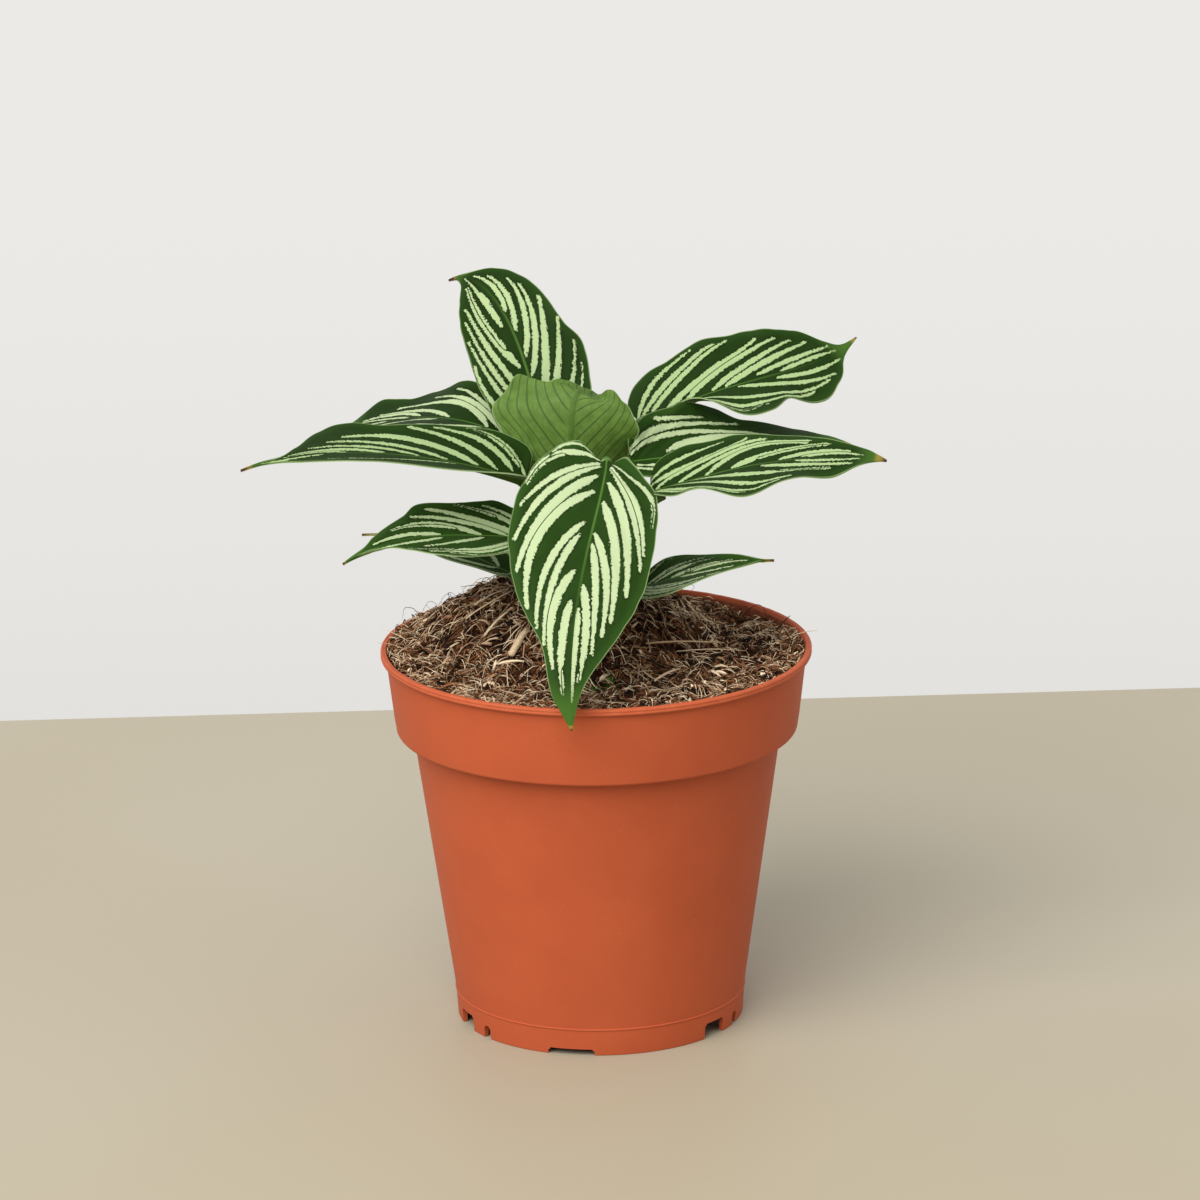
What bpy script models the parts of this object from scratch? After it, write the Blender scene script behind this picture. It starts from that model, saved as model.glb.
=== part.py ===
"""A young calathea in a round plastic nursery pot.

The pot's axis is the Z axis and the surface it stands on is z = 0. X runs to the right of the pot's
front and Y away from it. Lengths are written in millimetres and turned into metres by MM.
"""

import math
from collections import namedtuple

import bmesh
import bpy
from mathutils import Quaternion, Vector

MM = 0.001
SHARP = math.radians(35)

# What every cut uses: how far it runs past the faces, and the size of slivers it leaves that are closed up
CUT_PAST = 2.0 * MM
WELD = 0.02 * MM

# Pot: outer radii and heights of the turned profile
POT_HEIGHT = 93.3 * MM
RIM_RADIUS = 52.5 * MM
RIM_WIDTH = 1.4 * MM
RIM_DEPTH = 1.9 * MM
COLLAR_TOP_RADIUS = 51.2 * MM
COLLAR_EDGE_RADIUS = 49.0 * MM
COLLAR_EDGE_HEIGHT = 73.0 * MM
BODY_TOP_RADIUS = 45.0 * MM
SEAM_RADIUS = 35.5 * MM
SEAM_HEIGHT = 6.7 * MM
SEAM_RIDGE = 0.25 * MM
FOOT_RADIUS = 35.1 * MM
WALL = 1.1 * MM
FLOOR_HEIGHT = 4.6 * MM
EDGE_ROUND = 0.6 * MM
POT_SIDES = 60

# Pot: the gaps in its foot ring, its centre foot and its drain holes
GAP_ANGLES = (-12, 108, 228)
GAP_SPAN = 19
GAP_HEIGHT = 1.6 * MM
VENT_ANGLES = (52, 172, 292)
VENT_SPAN = 12
VENT_HEIGHT = 3.9 * MM
SLIT_TURN = 16
SLIT_SPAN = 4
SLIT_HEIGHT = 3.2 * MM
CENTRE_FOOT_RADIUS = 6.0 * MM
DRAIN_RADIUS = 3.6 * MM
DRAIN_CIRCLE = 24.0 * MM
DRAIN_COUNT = 6
DRAIN_SIDES = 16

# Soil
CLEARANCE = 0.3 * MM
SOIL_EDGE = 1.2 * MM
SOIL_EDGE_RADIUS = 49.6 * MM
SOIL_SHOULDER = 89.0 * MM
SOIL_RINGS = 11
MOUND_HEIGHT = 14.0 * MM
MOUND_CENTRE = (-7 * MM, 12 * MM)
MOUND_SPREAD = 32 * MM
HOLLOW_DEPTH = 3.5 * MM
HOLLOW_CENTRE = (18 * MM, -8 * MM)
HOLLOW_SPREAD = 9 * MM
SLUMP_DEPTH = 2.2 * MM
SLUMP_CENTRE = (34 * MM, 26 * MM)
SLUMP_SPREAD = 14 * MM
CLUMP_HEIGHT = 1.1 * MM
HOLE_SPARE = 0.15 * MM
HOLE_SIDES = 12

# Leaves
STALK_RADIUS = 1.2 * MM
STALK_DEPTH = 13.0 * MM
STALK_RISE = 4.0 * MM
STALK_BEND = 5.0 * MM
JOINT_RADIUS = 1.45 * MM
JOINT_SHARE = 0.05
RIB_HALF = 0.75 * MM
MARGIN_HALF = 0.32 * MM
TIP_HALF_WIDTH = 0.38 * MM
ACROSS = (-1.0, -0.66, -0.31, 0.0, 0.31, 0.66, 1.0)
BLADE_RINGS = 18
STALK_RINGS = 6
WIDEST = 0.36
ROUND_ARC = math.radians(76)

# Each leaf in millimetres and degrees. foot is where its stalk leaves the soil. base, near, far and tip
# draw the midrib. face is where the upper side looks at the base, and twist turns it on the way to the
# tip. halves are the widths left and right of the midrib, fold and curl lift them, lobe carries them
# back past the stalk and ripple waves their margins. drip is the share of the length that is a thin tail.
Leaf = namedtuple("Leaf", "foot base near far tip face twist halves lobe fold curl ripple ripples drip")
LEAVES = {
    "leaf_back_left": Leaf(
        (-5, 7), (-12, 15, 141), (-16, 20, 162), (-23, 32, 181), (-35, 45, 174),
        (0.1, -0.85, 0.5), 0, (14.5, 14.5), 3, (5, 16), (6, 6), (0.8, 1.2), 2.0, 0.1,
    ),
    "leaf_new": Leaf(
        (-1.5, 0.5), (-4, 5, 130.5), (-8, 1, 143.5), (-4, 1, 170.5), (2, 17, 150.5),
        (0, 1, 0.2), -30, (17.5, 20.5), 3, (10, 10), (24, 14), (1.0, 1.6), 2.0, 0.02,
    ),
    "leaf_front": Leaf(
        (0, -7), (3, -8, 141.5), (1, -27, 131), (-6, -52, 124), (-6, -61, 92),
        (0.08, -0.42, 0.9), 0, (15, 20), 7, (10, 24), (-16, -18), (0.4, 0.6), 1.5, 0.02,
    ),
    "leaf_right_high": Leaf(
        (2, 9), (13, 23, 142), (27, 24, 153), (52, 24, 153.5), (63, 40, 157.5),
        (-0.3, -0.05, 1), 45, (17, 15.5), 2, (40, 40), (6, 4), (0.6, 1.6), 3.5, -0.06,
    ),
    "leaf_right_mid": Leaf(
        (4, 2), (12, 3.5, 134.5), (23, 6.5, 136.5), (44, 12, 141), (61, 17, 139),
        (-0.1, -0.27, 1), -15, (15.5, 10), 1, (64, -5), (6, 4), (0.6, 0.6), 2.0, 0.02,
    ),
    "leaf_right_low": Leaf(
        (3.5, -4), (16.5, -8, 133.5), (29, -12, 141), (50, -18, 146.5), (70, -20, 144.5),
        (-0.2, -0.07, 1), 14, (14, 15), 1, (21, 30), (4, 2), (0.4, 1.3), 3.0, 0.03,
    ),
    "leaf_left_high": Leaf(
        (-8, 12), (-20, 20, 139.5), (-33, 22, 148), (-47, 29, 143.5), (-63, 33, 139),
        (0.2, -0.1, 1), 0, (14, 17), 2, (16, 34), (4, 6), (0.6, 1.0), 2.5, 0.02,
    ),
    "leaf_left_mid": Leaf(
        (-5.5, -3.5), (-16, -2, 135), (-30, -8, 142.5), (-62, -22, 153), (-84, -27, 146.5),
        (0.2, -0.04, 1), -3, (13, 15), 3, (28, 32), (22, 4), (0.5, 0.7), 2.0, 0.1,
    ),
    "leaf_left_low": Leaf(
        (-6, -9), (-14, -8, 123), (-28, -15, 125), (-46, -26, 132), (-60, -32, 124),
        (0.1, -0.25, 1), 0, (14, 13), 2, (20, 20), (4, 4), (0.8, 0.6), 2.0, 0.1,
    ),
    "leaf_left_small": Leaf(
        (-10, -4), (-20, 3, 110.5), (-30, 8, 114), (-42, 14, 119), (-57, 21, 116),
        (0.2, -0.3, 1), 0, (6, 8), 1, (10, 10), (4, 4), (0.4, 0.4), 1.5, 0.08,
    ),
    "leaf_right_small": Leaf(
        (1.3, -12.8), (11, -11, 111), (17, -15, 113), (29, -18, 120), (43, -18, 119.5),
        (-0.2, -0.25, 1), 0, (10, 10), 1.5, (10, 10), (4, 4), (0.5, 0.4), 1.5, 0.05,
    ),
}

COLOURS = {
    "pot_plastic": ((0.57, 0.115, 0.045, 1), 0.5),
    "potting_soil": ((0.09, 0.05, 0.032, 1), 0.95),
    "leaf_green": ((0.05, 0.13, 0.035, 1), 0.45),
}


def clear_scene():
    for item in list(bpy.data.objects):
        bpy.data.objects.remove(item)


def material(name):
    """One of the part's finishes, made once."""
    made = bpy.data.materials.get(name) or bpy.data.materials.new(name)
    made.use_nodes = True
    colour, roughness = COLOURS[name]
    surface = made.node_tree.nodes["Principled BSDF"]
    surface.inputs["Base Color"].default_value = colour
    surface.inputs["Roughness"].default_value = roughness
    surface.inputs["Metallic"].default_value = 0
    return made


def add_object(name, points, faces, finish):
    """An object of one mesh from its points and faces, in its finish."""
    mesh = bpy.data.meshes.new(name)
    mesh.from_pydata([tuple(point) for point in points], [], faces)
    mesh.update()
    made = bpy.data.objects.new(name, mesh)
    bpy.context.scene.collection.objects.link(made)
    made.data.materials.append(material(finish))
    return made


def turned(profile, sides):
    """Points and faces of a closed (radius, height) profile turned round Z, inside on its left."""
    points = []
    for radius, height in profile:
        for side in range(sides):
            angle = math.tau * side / sides
            points.append((radius * math.cos(angle), radius * math.sin(angle), height))
    faces = []
    rows = len(profile)
    for row in range(rows):
        above = (row + 1) % rows
        for side in range(sides):
            ahead = (side + 1) % sides
            faces.append((row * sides + side, row * sides + ahead, above * sides + ahead, above * sides + side))
    return points, faces


def cut(target, cutters):
    """Takes the cutters out of the target and removes them."""
    group = bpy.data.collections.new(target.name + "_cutters")
    for cutter in cutters:
        group.objects.link(cutter)
    modifier = target.modifiers.new("Cut", "BOOLEAN")
    modifier.operation = "DIFFERENCE"
    modifier.operand_type = "COLLECTION"
    modifier.collection = group
    modifier.solver = "EXACT"
    graph = bpy.context.evaluated_depsgraph_get()
    solid = bpy.data.meshes.new_from_object(target.evaluated_get(graph))
    target.modifiers.remove(modifier)
    target.data = solid
    for cutter in cutters:
        bpy.data.objects.remove(cutter)
    bpy.data.collections.remove(group)
    shape = bmesh.new()
    shape.from_mesh(solid)
    bmesh.ops.remove_doubles(shape, verts=shape.verts, dist=WELD)
    bmesh.ops.dissolve_degenerate(shape, edges=shape.edges, dist=WELD)
    bmesh.ops.triangulate(shape, faces=[face for face in shape.faces if len(face.verts) > 4])
    shape.to_mesh(solid)
    shape.free()
    solid.shade_smooth()
    solid.set_sharp_from_angle(angle=SHARP)


def cylinder(radius, low, high, centre, sides):
    """An upright round cutter between two heights."""
    mesh = bpy.data.meshes.new("cutter")
    shape = bmesh.new()
    bmesh.ops.create_cone(
        shape, cap_ends=True, segments=sides, radius1=radius, radius2=radius, depth=high - low
    )
    bmesh.ops.translate(shape, verts=shape.verts, vec=(centre[0], centre[1], (low + high) / 2))
    shape.to_mesh(mesh)
    shape.free()
    made = bpy.data.objects.new("cutter", mesh)
    bpy.context.scene.collection.objects.link(made)
    return made


def foot_gap(angle, span, height):
    """A wedge that cuts the foot ring over span degrees, angle degrees round from the pot's front."""
    inner, outer = FOOT_RADIUS - 4 * WALL, FOOT_RADIUS + 4 * WALL
    corners = []
    for side in (-0.5, 0.5):
        turn = math.radians(angle + side * span)
        for radius in (inner, outer):
            corners.append((radius * math.sin(turn), -radius * math.cos(turn)))
    order = (0, 2, 3, 1)
    points = [(*corners[index], level) for level in (-CUT_PAST, height) for index in order]
    faces = [(0, 1, 2, 3), (7, 6, 5, 4)] + [(n, n + 4, (n + 1) % 4 + 4, (n + 1) % 4) for n in range(4)]
    made = add_object("cutter", points, faces, "pot_plastic")
    shape = bmesh.new()
    shape.from_mesh(made.data)
    bmesh.ops.recalc_face_normals(shape, faces=shape.faces)
    shape.to_mesh(made.data)
    shape.free()
    return made


def body_radius(height):
    """Outer radius of the pot's tapered body at a height."""
    share = (height - SEAM_HEIGHT) / (COLLAR_EDGE_HEIGHT - SEAM_HEIGHT)
    return SEAM_RADIUS + (BODY_TOP_RADIUS - SEAM_RADIUS) * share


def collar_radius(height):
    """Outer radius of the wider collar at a height."""
    share = (height - COLLAR_EDGE_HEIGHT) / (POT_HEIGHT - RIM_DEPTH - COLLAR_EDGE_HEIGHT)
    return COLLAR_EDGE_RADIUS + (COLLAR_TOP_RADIUS - COLLAR_EDGE_RADIUS) * share


def pot_inside():
    """The (radius, height) line of the pot's inner wall, from its floor to its mouth."""
    floor_top = FLOOR_HEIGHT + WALL
    step_top = COLLAR_EDGE_HEIGHT + WALL
    under_rim = POT_HEIGHT - RIM_DEPTH
    return [
        (body_radius(floor_top) - WALL, floor_top),
        (body_radius(COLLAR_EDGE_HEIGHT) - WALL, COLLAR_EDGE_HEIGHT),
        (body_radius(COLLAR_EDGE_HEIGHT) - WALL + 0.2 * MM, step_top),
        (collar_radius(step_top) - WALL, step_top + 0.2 * MM),
        (collar_radius(under_rim) - WALL, under_rim),
        (RIM_RADIUS - RIM_WIDTH, POT_HEIGHT - 0.3 * MM),
    ]


def pot_profile():
    """The pot's whole section. It starts under the floor beside the centre foot and goes outwards."""
    under_rim = POT_HEIGHT - RIM_DEPTH
    outside = [
        (FOOT_RADIUS - WALL, FLOOR_HEIGHT),
        (FOOT_RADIUS - WALL, 0),
        (FOOT_RADIUS, 0),
        (SEAM_RADIUS - 0.1 * MM, SEAM_HEIGHT - SEAM_RIDGE),
        (SEAM_RADIUS + SEAM_RIDGE, SEAM_HEIGHT),
        (SEAM_RADIUS + 0.1 * MM, SEAM_HEIGHT + SEAM_RIDGE),
        (body_radius(COLLAR_EDGE_HEIGHT / 2), COLLAR_EDGE_HEIGHT / 2),
        (BODY_TOP_RADIUS, COLLAR_EDGE_HEIGHT),
        (COLLAR_EDGE_RADIUS - EDGE_ROUND, COLLAR_EDGE_HEIGHT),
        (COLLAR_EDGE_RADIUS, COLLAR_EDGE_HEIGHT + EDGE_ROUND),
        (COLLAR_TOP_RADIUS, under_rim),
        (RIM_RADIUS, under_rim + 0.4 * MM),
        (RIM_RADIUS, POT_HEIGHT - 0.5 * MM),
        (RIM_RADIUS - 0.5 * MM, POT_HEIGHT),
        (RIM_RADIUS - RIM_WIDTH + 0.3 * MM, POT_HEIGHT),
    ]
    return outside + pot_inside()[::-1]


def pot_section_points(sides):
    """Turns the pot's profile and closes its floor at the axis, with the centre foot below."""
    profile = [
        (CENTRE_FOOT_RADIUS - WALL, 0),
        (CENTRE_FOOT_RADIUS, 0.5 * MM),
        (CENTRE_FOOT_RADIUS, FLOOR_HEIGHT),
    ] + pot_profile()
    points, faces = turned(profile, sides)
    faces = faces[: -sides]
    faces.append(tuple(range(sides))[::-1])
    last = (len(profile) - 1) * sides
    faces.append(tuple(range(last, last + sides)))
    return points, faces


def build_pot():
    """The pot, with the gaps and vents of its foot ring and the drain holes of its floor cut out."""
    points, faces = pot_section_points(POT_SIDES)
    pot = add_object("pot", points, faces, "pot_plastic")
    cutters = [foot_gap(angle, GAP_SPAN, GAP_HEIGHT) for angle in GAP_ANGLES]
    for angle in VENT_ANGLES:
        cutters.append(foot_gap(angle, VENT_SPAN, VENT_HEIGHT))
        cutters.append(foot_gap(angle + SLIT_TURN, SLIT_SPAN, SLIT_HEIGHT))
    for index in range(DRAIN_COUNT):
        turn = math.tau * (index + 0.5) / DRAIN_COUNT
        centre = (DRAIN_CIRCLE * math.cos(turn), DRAIN_CIRCLE * math.sin(turn))
        low, high = FLOOR_HEIGHT - CUT_PAST, FLOOR_HEIGHT + WALL + CUT_PAST
        cutters.append(cylinder(DRAIN_RADIUS, low, high, centre, DRAIN_SIDES))
    cut(pot, cutters)
    return pot


def bump(x, y, centre, spread, power):
    """A rounded rise of height 1 at the centre, fading over the spread."""
    return math.exp(-((math.hypot(x - centre[0], y - centre[1]) / spread) ** power))


def soil_height(x, y):
    """Height of the soil's surface: a mound behind the middle, two low places and clumps of fibre."""
    to_wall = min(1, math.hypot(x, y) / SOIL_EDGE_RADIUS)
    mound = MOUND_HEIGHT * bump(x, y, MOUND_CENTRE, MOUND_SPREAD, 4) * (1 - to_wall ** 6)
    hollow = HOLLOW_DEPTH * bump(x, y, HOLLOW_CENTRE, HOLLOW_SPREAD, 2)
    slump = SLUMP_DEPTH * bump(x, y, SLUMP_CENTRE, SLUMP_SPREAD, 2)
    u, v = x / MM, y / MM
    clumps = math.sin(0.42 * u + 1.3 * math.sin(0.31 * v)) * math.sin(0.47 * v + 0.9)
    clumps += 0.6 * math.sin(0.83 * u - 0.55 * v + 2.1) * math.sin(0.71 * v + 0.36 * u)
    ground = POT_HEIGHT - SOIL_EDGE + CLUMP_HEIGHT * clumps * (1 - 0.8 * to_wall ** 8)
    return ground + mound - hollow - slump


def ring_of(radius, sides):
    """(x, y) points round a circle."""
    turns = [math.tau * side / sides for side in range(sides)]
    return [(radius * math.cos(turn), radius * math.sin(turn)) for turn in turns]


def soil_rings():
    """Rings of points up the wall of the root ball and in over its top, with fewer sides near its middle."""
    wall = [(radius - CLEARANCE, height) for radius, height in pot_inside()[:4]]
    for step in (0, 2, 3):
        wall[step] = (wall[step][0], wall[step][1] + CLEARANCE)
    wall.append((collar_radius(SOIL_SHOULDER) - WALL - CLEARANCE, SOIL_SHOULDER))
    rings = [[(x, y, height) for x, y in ring_of(radius, POT_SIDES)] for radius, height in wall]
    for ring in range(SOIL_RINGS):
        share = 1 - ring / SOIL_RINGS
        sides = POT_SIDES if share > 0.5 else POT_SIDES // 2 if share > 0.2 else POT_SIDES // 4
        top = ring_of(SOIL_EDGE_RADIUS * share, sides)
        rings.append([(x, y, soil_height(x, y)) for x, y in top])
    return rings


def build_soil():
    """The root ball: it fills the pot, mounds up round the stalks and has a plain hole for each stalk."""
    rings = soil_rings()
    points = [point for ring in rings for point in ring] + [(0, 0, soil_height(0, 0))]
    faces = [tuple(range(POT_SIDES))[::-1]]
    low = 0
    for outer, inner in zip(rings, rings[1:]):
        high = low + len(outer)
        for side in range(len(inner)):
            ahead = (side + 1) % len(inner)
            if len(outer) == len(inner):
                faces.append((low + side, low + ahead, high + ahead))
                faces.append((low + side, high + ahead, high + side))
            else:
                first, middle, last = low + 2 * side, low + 2 * side + 1, low + 2 * ahead
                faces.append((first, middle, high + side))
                faces.append((middle, high + ahead, high + side))
                faces.append((middle, last, high + ahead))
        low = high
    for side in range(len(rings[-1])):
        faces.append((low + side, low + (side + 1) % len(rings[-1]), len(points) - 1))
    soil = add_object("soil", points, faces, "potting_soil")
    holes = []
    for leaf in LEAVES.values():
        x, y = leaf.foot[0] * MM, leaf.foot[1] * MM
        low = soil_height(x, y) - STALK_DEPTH - CLEARANCE
        high = POT_HEIGHT + MOUND_HEIGHT + CUT_PAST
        holes.append(cylinder(STALK_RADIUS + CLEARANCE + HOLE_SPARE, low, high, (x, y), HOLE_SIDES))
    cut(soil, holes)
    return soil


def bezier(points, share):
    """Point and direction at a share of the way along a cubic curve."""
    a, b, c, d = points
    rest = 1 - share
    place = a * rest ** 3 + b * 3 * rest ** 2 * share + c * 3 * rest * share ** 2 + d * share ** 3
    slope = (b - a) * rest ** 2 + (c - b) * 2 * rest * share + (d - c) * share ** 2
    return place, slope.normalized()


def half_width(share, drip):
    """Half width of a blade at a share of its length, as a part of its greatest half width."""
    if share < WIDEST:
        return (1 - (1 - share / WIDEST) ** 2.2) ** 0.55
    gone = min(1, (share - WIDEST) / (1 - WIDEST - drip))
    return (1 - gone ** 1.65) ** 1.3


def turned_normal(normal, before, after):
    """The normal carried along from one direction to the next without spinning."""
    return (before.rotation_difference(after) @ normal).normalized()


def blade_frames(leaf, count):
    """(share, place, direction, normal) at rings from the blade's base to its tip, closer at the ends."""
    line = [Vector(point) * MM for point in (leaf.base, leaf.near, leaf.far, leaf.tip)]
    face = Vector(leaf.face)
    frames = []
    normal = before = None
    for ring in range(count):
        share = 0.5 - 0.5 * math.cos(math.pi * ring / (count - 1))
        place, ahead = bezier(line, share)
        if normal is None:
            normal = (face - ahead * face.dot(ahead)).normalized()
        else:
            normal = turned_normal(normal, before, ahead)
        before = ahead
        turned_by = Quaternion(ahead, math.radians(leaf.twist) * share)
        frames.append((share, place, ahead, turned_by @ normal))
    return frames


def stalk_frames(leaf, count):
    """(place, direction, normal) at rings from the stalk's foot in the soil to the blade's base."""
    x, y = leaf.foot[0] * MM, leaf.foot[1] * MM
    ground = soil_height(x, y)
    start = Vector((x, y, ground + STALK_RISE))
    _, place, ahead, normal = blade_frames(leaf, 2)[0]
    reach = (place - start).length
    line = [start, start + Vector((0, 0, 0.5 * reach)), place - ahead * STALK_BEND, place]
    found = [bezier(line, ring / count) for ring in range(count)]
    found.insert(0, (Vector((x, y, ground - STALK_DEPTH)), Vector((0, 0, 1))))
    frames = []
    before = ahead
    for point, along in found[::-1]:
        normal = turned_normal(normal, before, along)
        before = along
        frames.insert(0, (point, along, normal))
    return frames


def stalk_ring(place, ahead, normal, radius):
    """Upper and lower points of a round ring with as many points as a ring of the blade."""
    side = ahead.cross(normal)
    upper, lower = [], []
    for across in ACROSS:
        turn = across * ROUND_ARC
        level = side * math.sin(turn) * radius
        upper.append(place + level + normal * math.cos(turn) * radius)
        lower.append(place + level - normal * math.cos(turn) * radius)
    return upper, lower


def blade_point(leaf, share, across, place, ahead, normal):
    """Point of the blade's middle surface and its own normal there."""
    side = ahead.cross(normal)
    right = across > 0
    filled = half_width(share, leaf.drip)
    half = max(leaf.halves[right] * MM * filled, TIP_HALF_WIDTH)
    out = abs(across)
    fold = math.radians(leaf.fold[right]) * (1 - share) ** 2
    curl = math.radians(leaf.curl[right]) or 1e-6
    tilt = fold + curl * out
    level = half / curl * (math.sin(tilt) - math.sin(fold)) * (1 if right else -1)
    lift = half / curl * (math.cos(fold) - math.cos(tilt))
    wave = math.sin(math.tau * leaf.ripples * share + (2.1 if right else 0))
    lift += leaf.ripple[right] * MM * wave * out ** 3 * min(1, 5 * share, 5 * (1 - share))
    back = leaf.lobe * MM * 4 * filled * (1 - filled) * out ** 2 if share < WIDEST else 0
    up = (normal * math.cos(tilt) - side * math.sin(tilt) * (1 if right else -1)).normalized()
    return place + side * level + normal * lift - ahead * back, up


def blade_ring(leaf, share, place, ahead, normal):
    """The ring's upper and lower points. It grows out of the round stalk over the blade's first part."""
    grown = min(1, share / JOINT_SHARE)
    grown = grown * grown * (3 - 2 * grown)
    round_upper, round_lower = stalk_ring(place, ahead, normal, JOINT_RADIUS)
    upper, lower = [], []
    for index, across in enumerate(ACROSS):
        point, up = blade_point(leaf, share, across, place, ahead, normal)
        half = MARGIN_HALF + (RIB_HALF * (1 - 0.6 * share) - MARGIN_HALF) * (1 - abs(across)) ** 4
        upper.append(round_upper[index].lerp(point + up * MARGIN_HALF, grown))
        lower.append(round_lower[index].lerp(point - up * (2 * half - MARGIN_HALF), grown))
    return upper, lower


def skin(rings):
    """Closes a row of rings into one solid, with both sides split into triangles alike."""
    wide = len(ACROSS)
    points = [point for upper, lower in rings for point in upper + lower]
    faces = []

    def at(ring, index, below):
        return ring * 2 * wide + index + (wide if below else 0)

    for ring in range(len(rings) - 1):
        for index in range(wide - 1):
            for below in (False, True):
                a, b = at(ring, index, below), at(ring + 1, index, below)
                c, d = at(ring + 1, index + 1, below), at(ring, index + 1, below)
                pair = [(a, c, b), (a, d, c)]
                faces += [face[::-1] for face in pair] if below else pair
        for index, turn in ((0, 1), (wide - 1, -1)):
            a, b = at(ring, index, False), at(ring + 1, index, False)
            c, d = at(ring + 1, index, True), at(ring, index, True)
            faces += [(a, b, c)[::turn], (a, c, d)[::turn]]
    for ring, turn in ((0, 1), (len(rings) - 1, -1)):
        for index in range(wide - 1):
            a, b = at(ring, index, False), at(ring, index + 1, False)
            c, d = at(ring, index + 1, True), at(ring, index, True)
            faces += [(a, c, b)[::turn], (a, d, c)[::turn]]
    return points, faces


def build_leaf(name, leaf):
    """One leaf: its stalk, the thicker joint at the stalk's top and its blade, as one solid."""
    rings = []
    stalk = stalk_frames(leaf, STALK_RINGS)
    for index, (place, ahead, normal) in enumerate(stalk):
        swell = max(0, (index - len(stalk) + 3) / 3)
        radius = STALK_RADIUS + (JOINT_RADIUS - STALK_RADIUS) * swell
        rings.append(stalk_ring(place, ahead, normal, radius))
    for share, place, ahead, normal in blade_frames(leaf, BLADE_RINGS):
        rings.append(blade_ring(leaf, share, place, ahead, normal))
    points, faces = skin(rings)
    made = add_object(name, points, faces, "leaf_green")
    shape = bmesh.new()
    shape.from_mesh(made.data)
    bmesh.ops.recalc_face_normals(shape, faces=shape.faces)
    shape.to_mesh(made.data)
    shape.free()
    made.data.shade_smooth()
    return made


def build():
    clear_scene()
    build_pot()
    build_soil()
    for name, leaf in LEAVES.items():
        build_leaf(name, leaf)


build()
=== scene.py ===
# %% [markdown]
# # A young calathea in a nursery pot
# The solid model already has every piece at its real size: a pot, the potting mix and eleven leaves.
# This notebook dresses them. The pot gets its moulded edges and plastic, the mix its crumbs and
# fibres, and each leaf its painted stripes. The model is in metres. Lengths on the plant are written
# in millimetres and multiplied by MM, and those of the table and the lamp in metres.

# %% Load the solid model
import math
import random
from collections import namedtuple

import bmesh
import bpy
import numpy as np
from mathutils import Matrix, Quaternion, Vector, noise


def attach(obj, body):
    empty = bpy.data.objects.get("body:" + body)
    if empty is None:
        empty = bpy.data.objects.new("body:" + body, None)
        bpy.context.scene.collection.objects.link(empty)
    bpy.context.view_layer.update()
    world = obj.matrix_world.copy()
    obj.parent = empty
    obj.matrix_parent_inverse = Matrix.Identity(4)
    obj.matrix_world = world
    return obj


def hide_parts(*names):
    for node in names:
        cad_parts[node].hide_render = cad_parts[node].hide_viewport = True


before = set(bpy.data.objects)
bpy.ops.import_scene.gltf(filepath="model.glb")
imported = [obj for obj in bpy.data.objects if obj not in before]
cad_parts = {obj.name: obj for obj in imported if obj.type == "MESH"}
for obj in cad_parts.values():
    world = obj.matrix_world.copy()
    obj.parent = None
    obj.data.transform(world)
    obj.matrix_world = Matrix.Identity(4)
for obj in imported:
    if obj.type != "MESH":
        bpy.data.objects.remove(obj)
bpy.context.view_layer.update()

MM = 0.001

# %% [markdown]
# ## The camera
# The photograph was taken with a long lens from a little above the rim. A long lens keeps the pot's
# sides nearly parallel, so its distance matters less than its height above the horizon. The camera
# stands on a line that rises 18 degrees from the middle of the pot and looks at the middle of the
# picture. It is rolled by under a degree, because the pot leans by that much in the photograph.

# %% Place the camera
CAMERA_TARGET = Vector((0, 0, 50)) * MM
CAMERA_DISTANCE = 1800 * MM
CAMERA_ELEVATION = math.radians(18.25)
CAMERA_ROLL = math.radians(0.72)
CAMERA_LENS = 220.2
PICTURE_MIDDLE = (1.1 * MM, 52.6 * MM)


def place_camera():
    """A long lens on the line of sight, aimed at the middle of the picture."""
    back = Vector((0, -math.cos(CAMERA_ELEVATION), math.sin(CAMERA_ELEVATION)))
    up = Vector((0, math.sin(CAMERA_ELEVATION), math.cos(CAMERA_ELEVATION)))
    right = Vector((1, 0, 0))
    lens = bpy.data.cameras.new("camera")
    lens.lens = CAMERA_LENS
    lens.clip_start = 0.1
    lens.clip_end = 20
    camera = bpy.data.objects.new("camera", lens)
    bpy.context.scene.collection.objects.link(camera)
    camera.location = CAMERA_TARGET + back * CAMERA_DISTANCE
    aim = CAMERA_TARGET + right * PICTURE_MIDDLE[0] + up * PICTURE_MIDDLE[1]
    camera.rotation_mode = "QUATERNION"
    level = (aim - camera.location).to_track_quat("-Z", "Y")
    camera.rotation_quaternion = level @ Quaternion((0, 0, 1), -CAMERA_ROLL)
    bpy.context.scene.camera = camera
    return camera


camera = place_camera()
print("camera at", [round(value, 3) for value in camera.location])

# %% [markdown]
# ## Writing materials as sums
# A material in Blender is a tree of nodes. Long trees are hard to read as code, so a wire out of a
# node is wrapped in a small class here. Adding or multiplying two wires adds the Math node that does
# it, and a pattern can be written as the sum it is. Any other node comes from one method, add.

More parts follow.
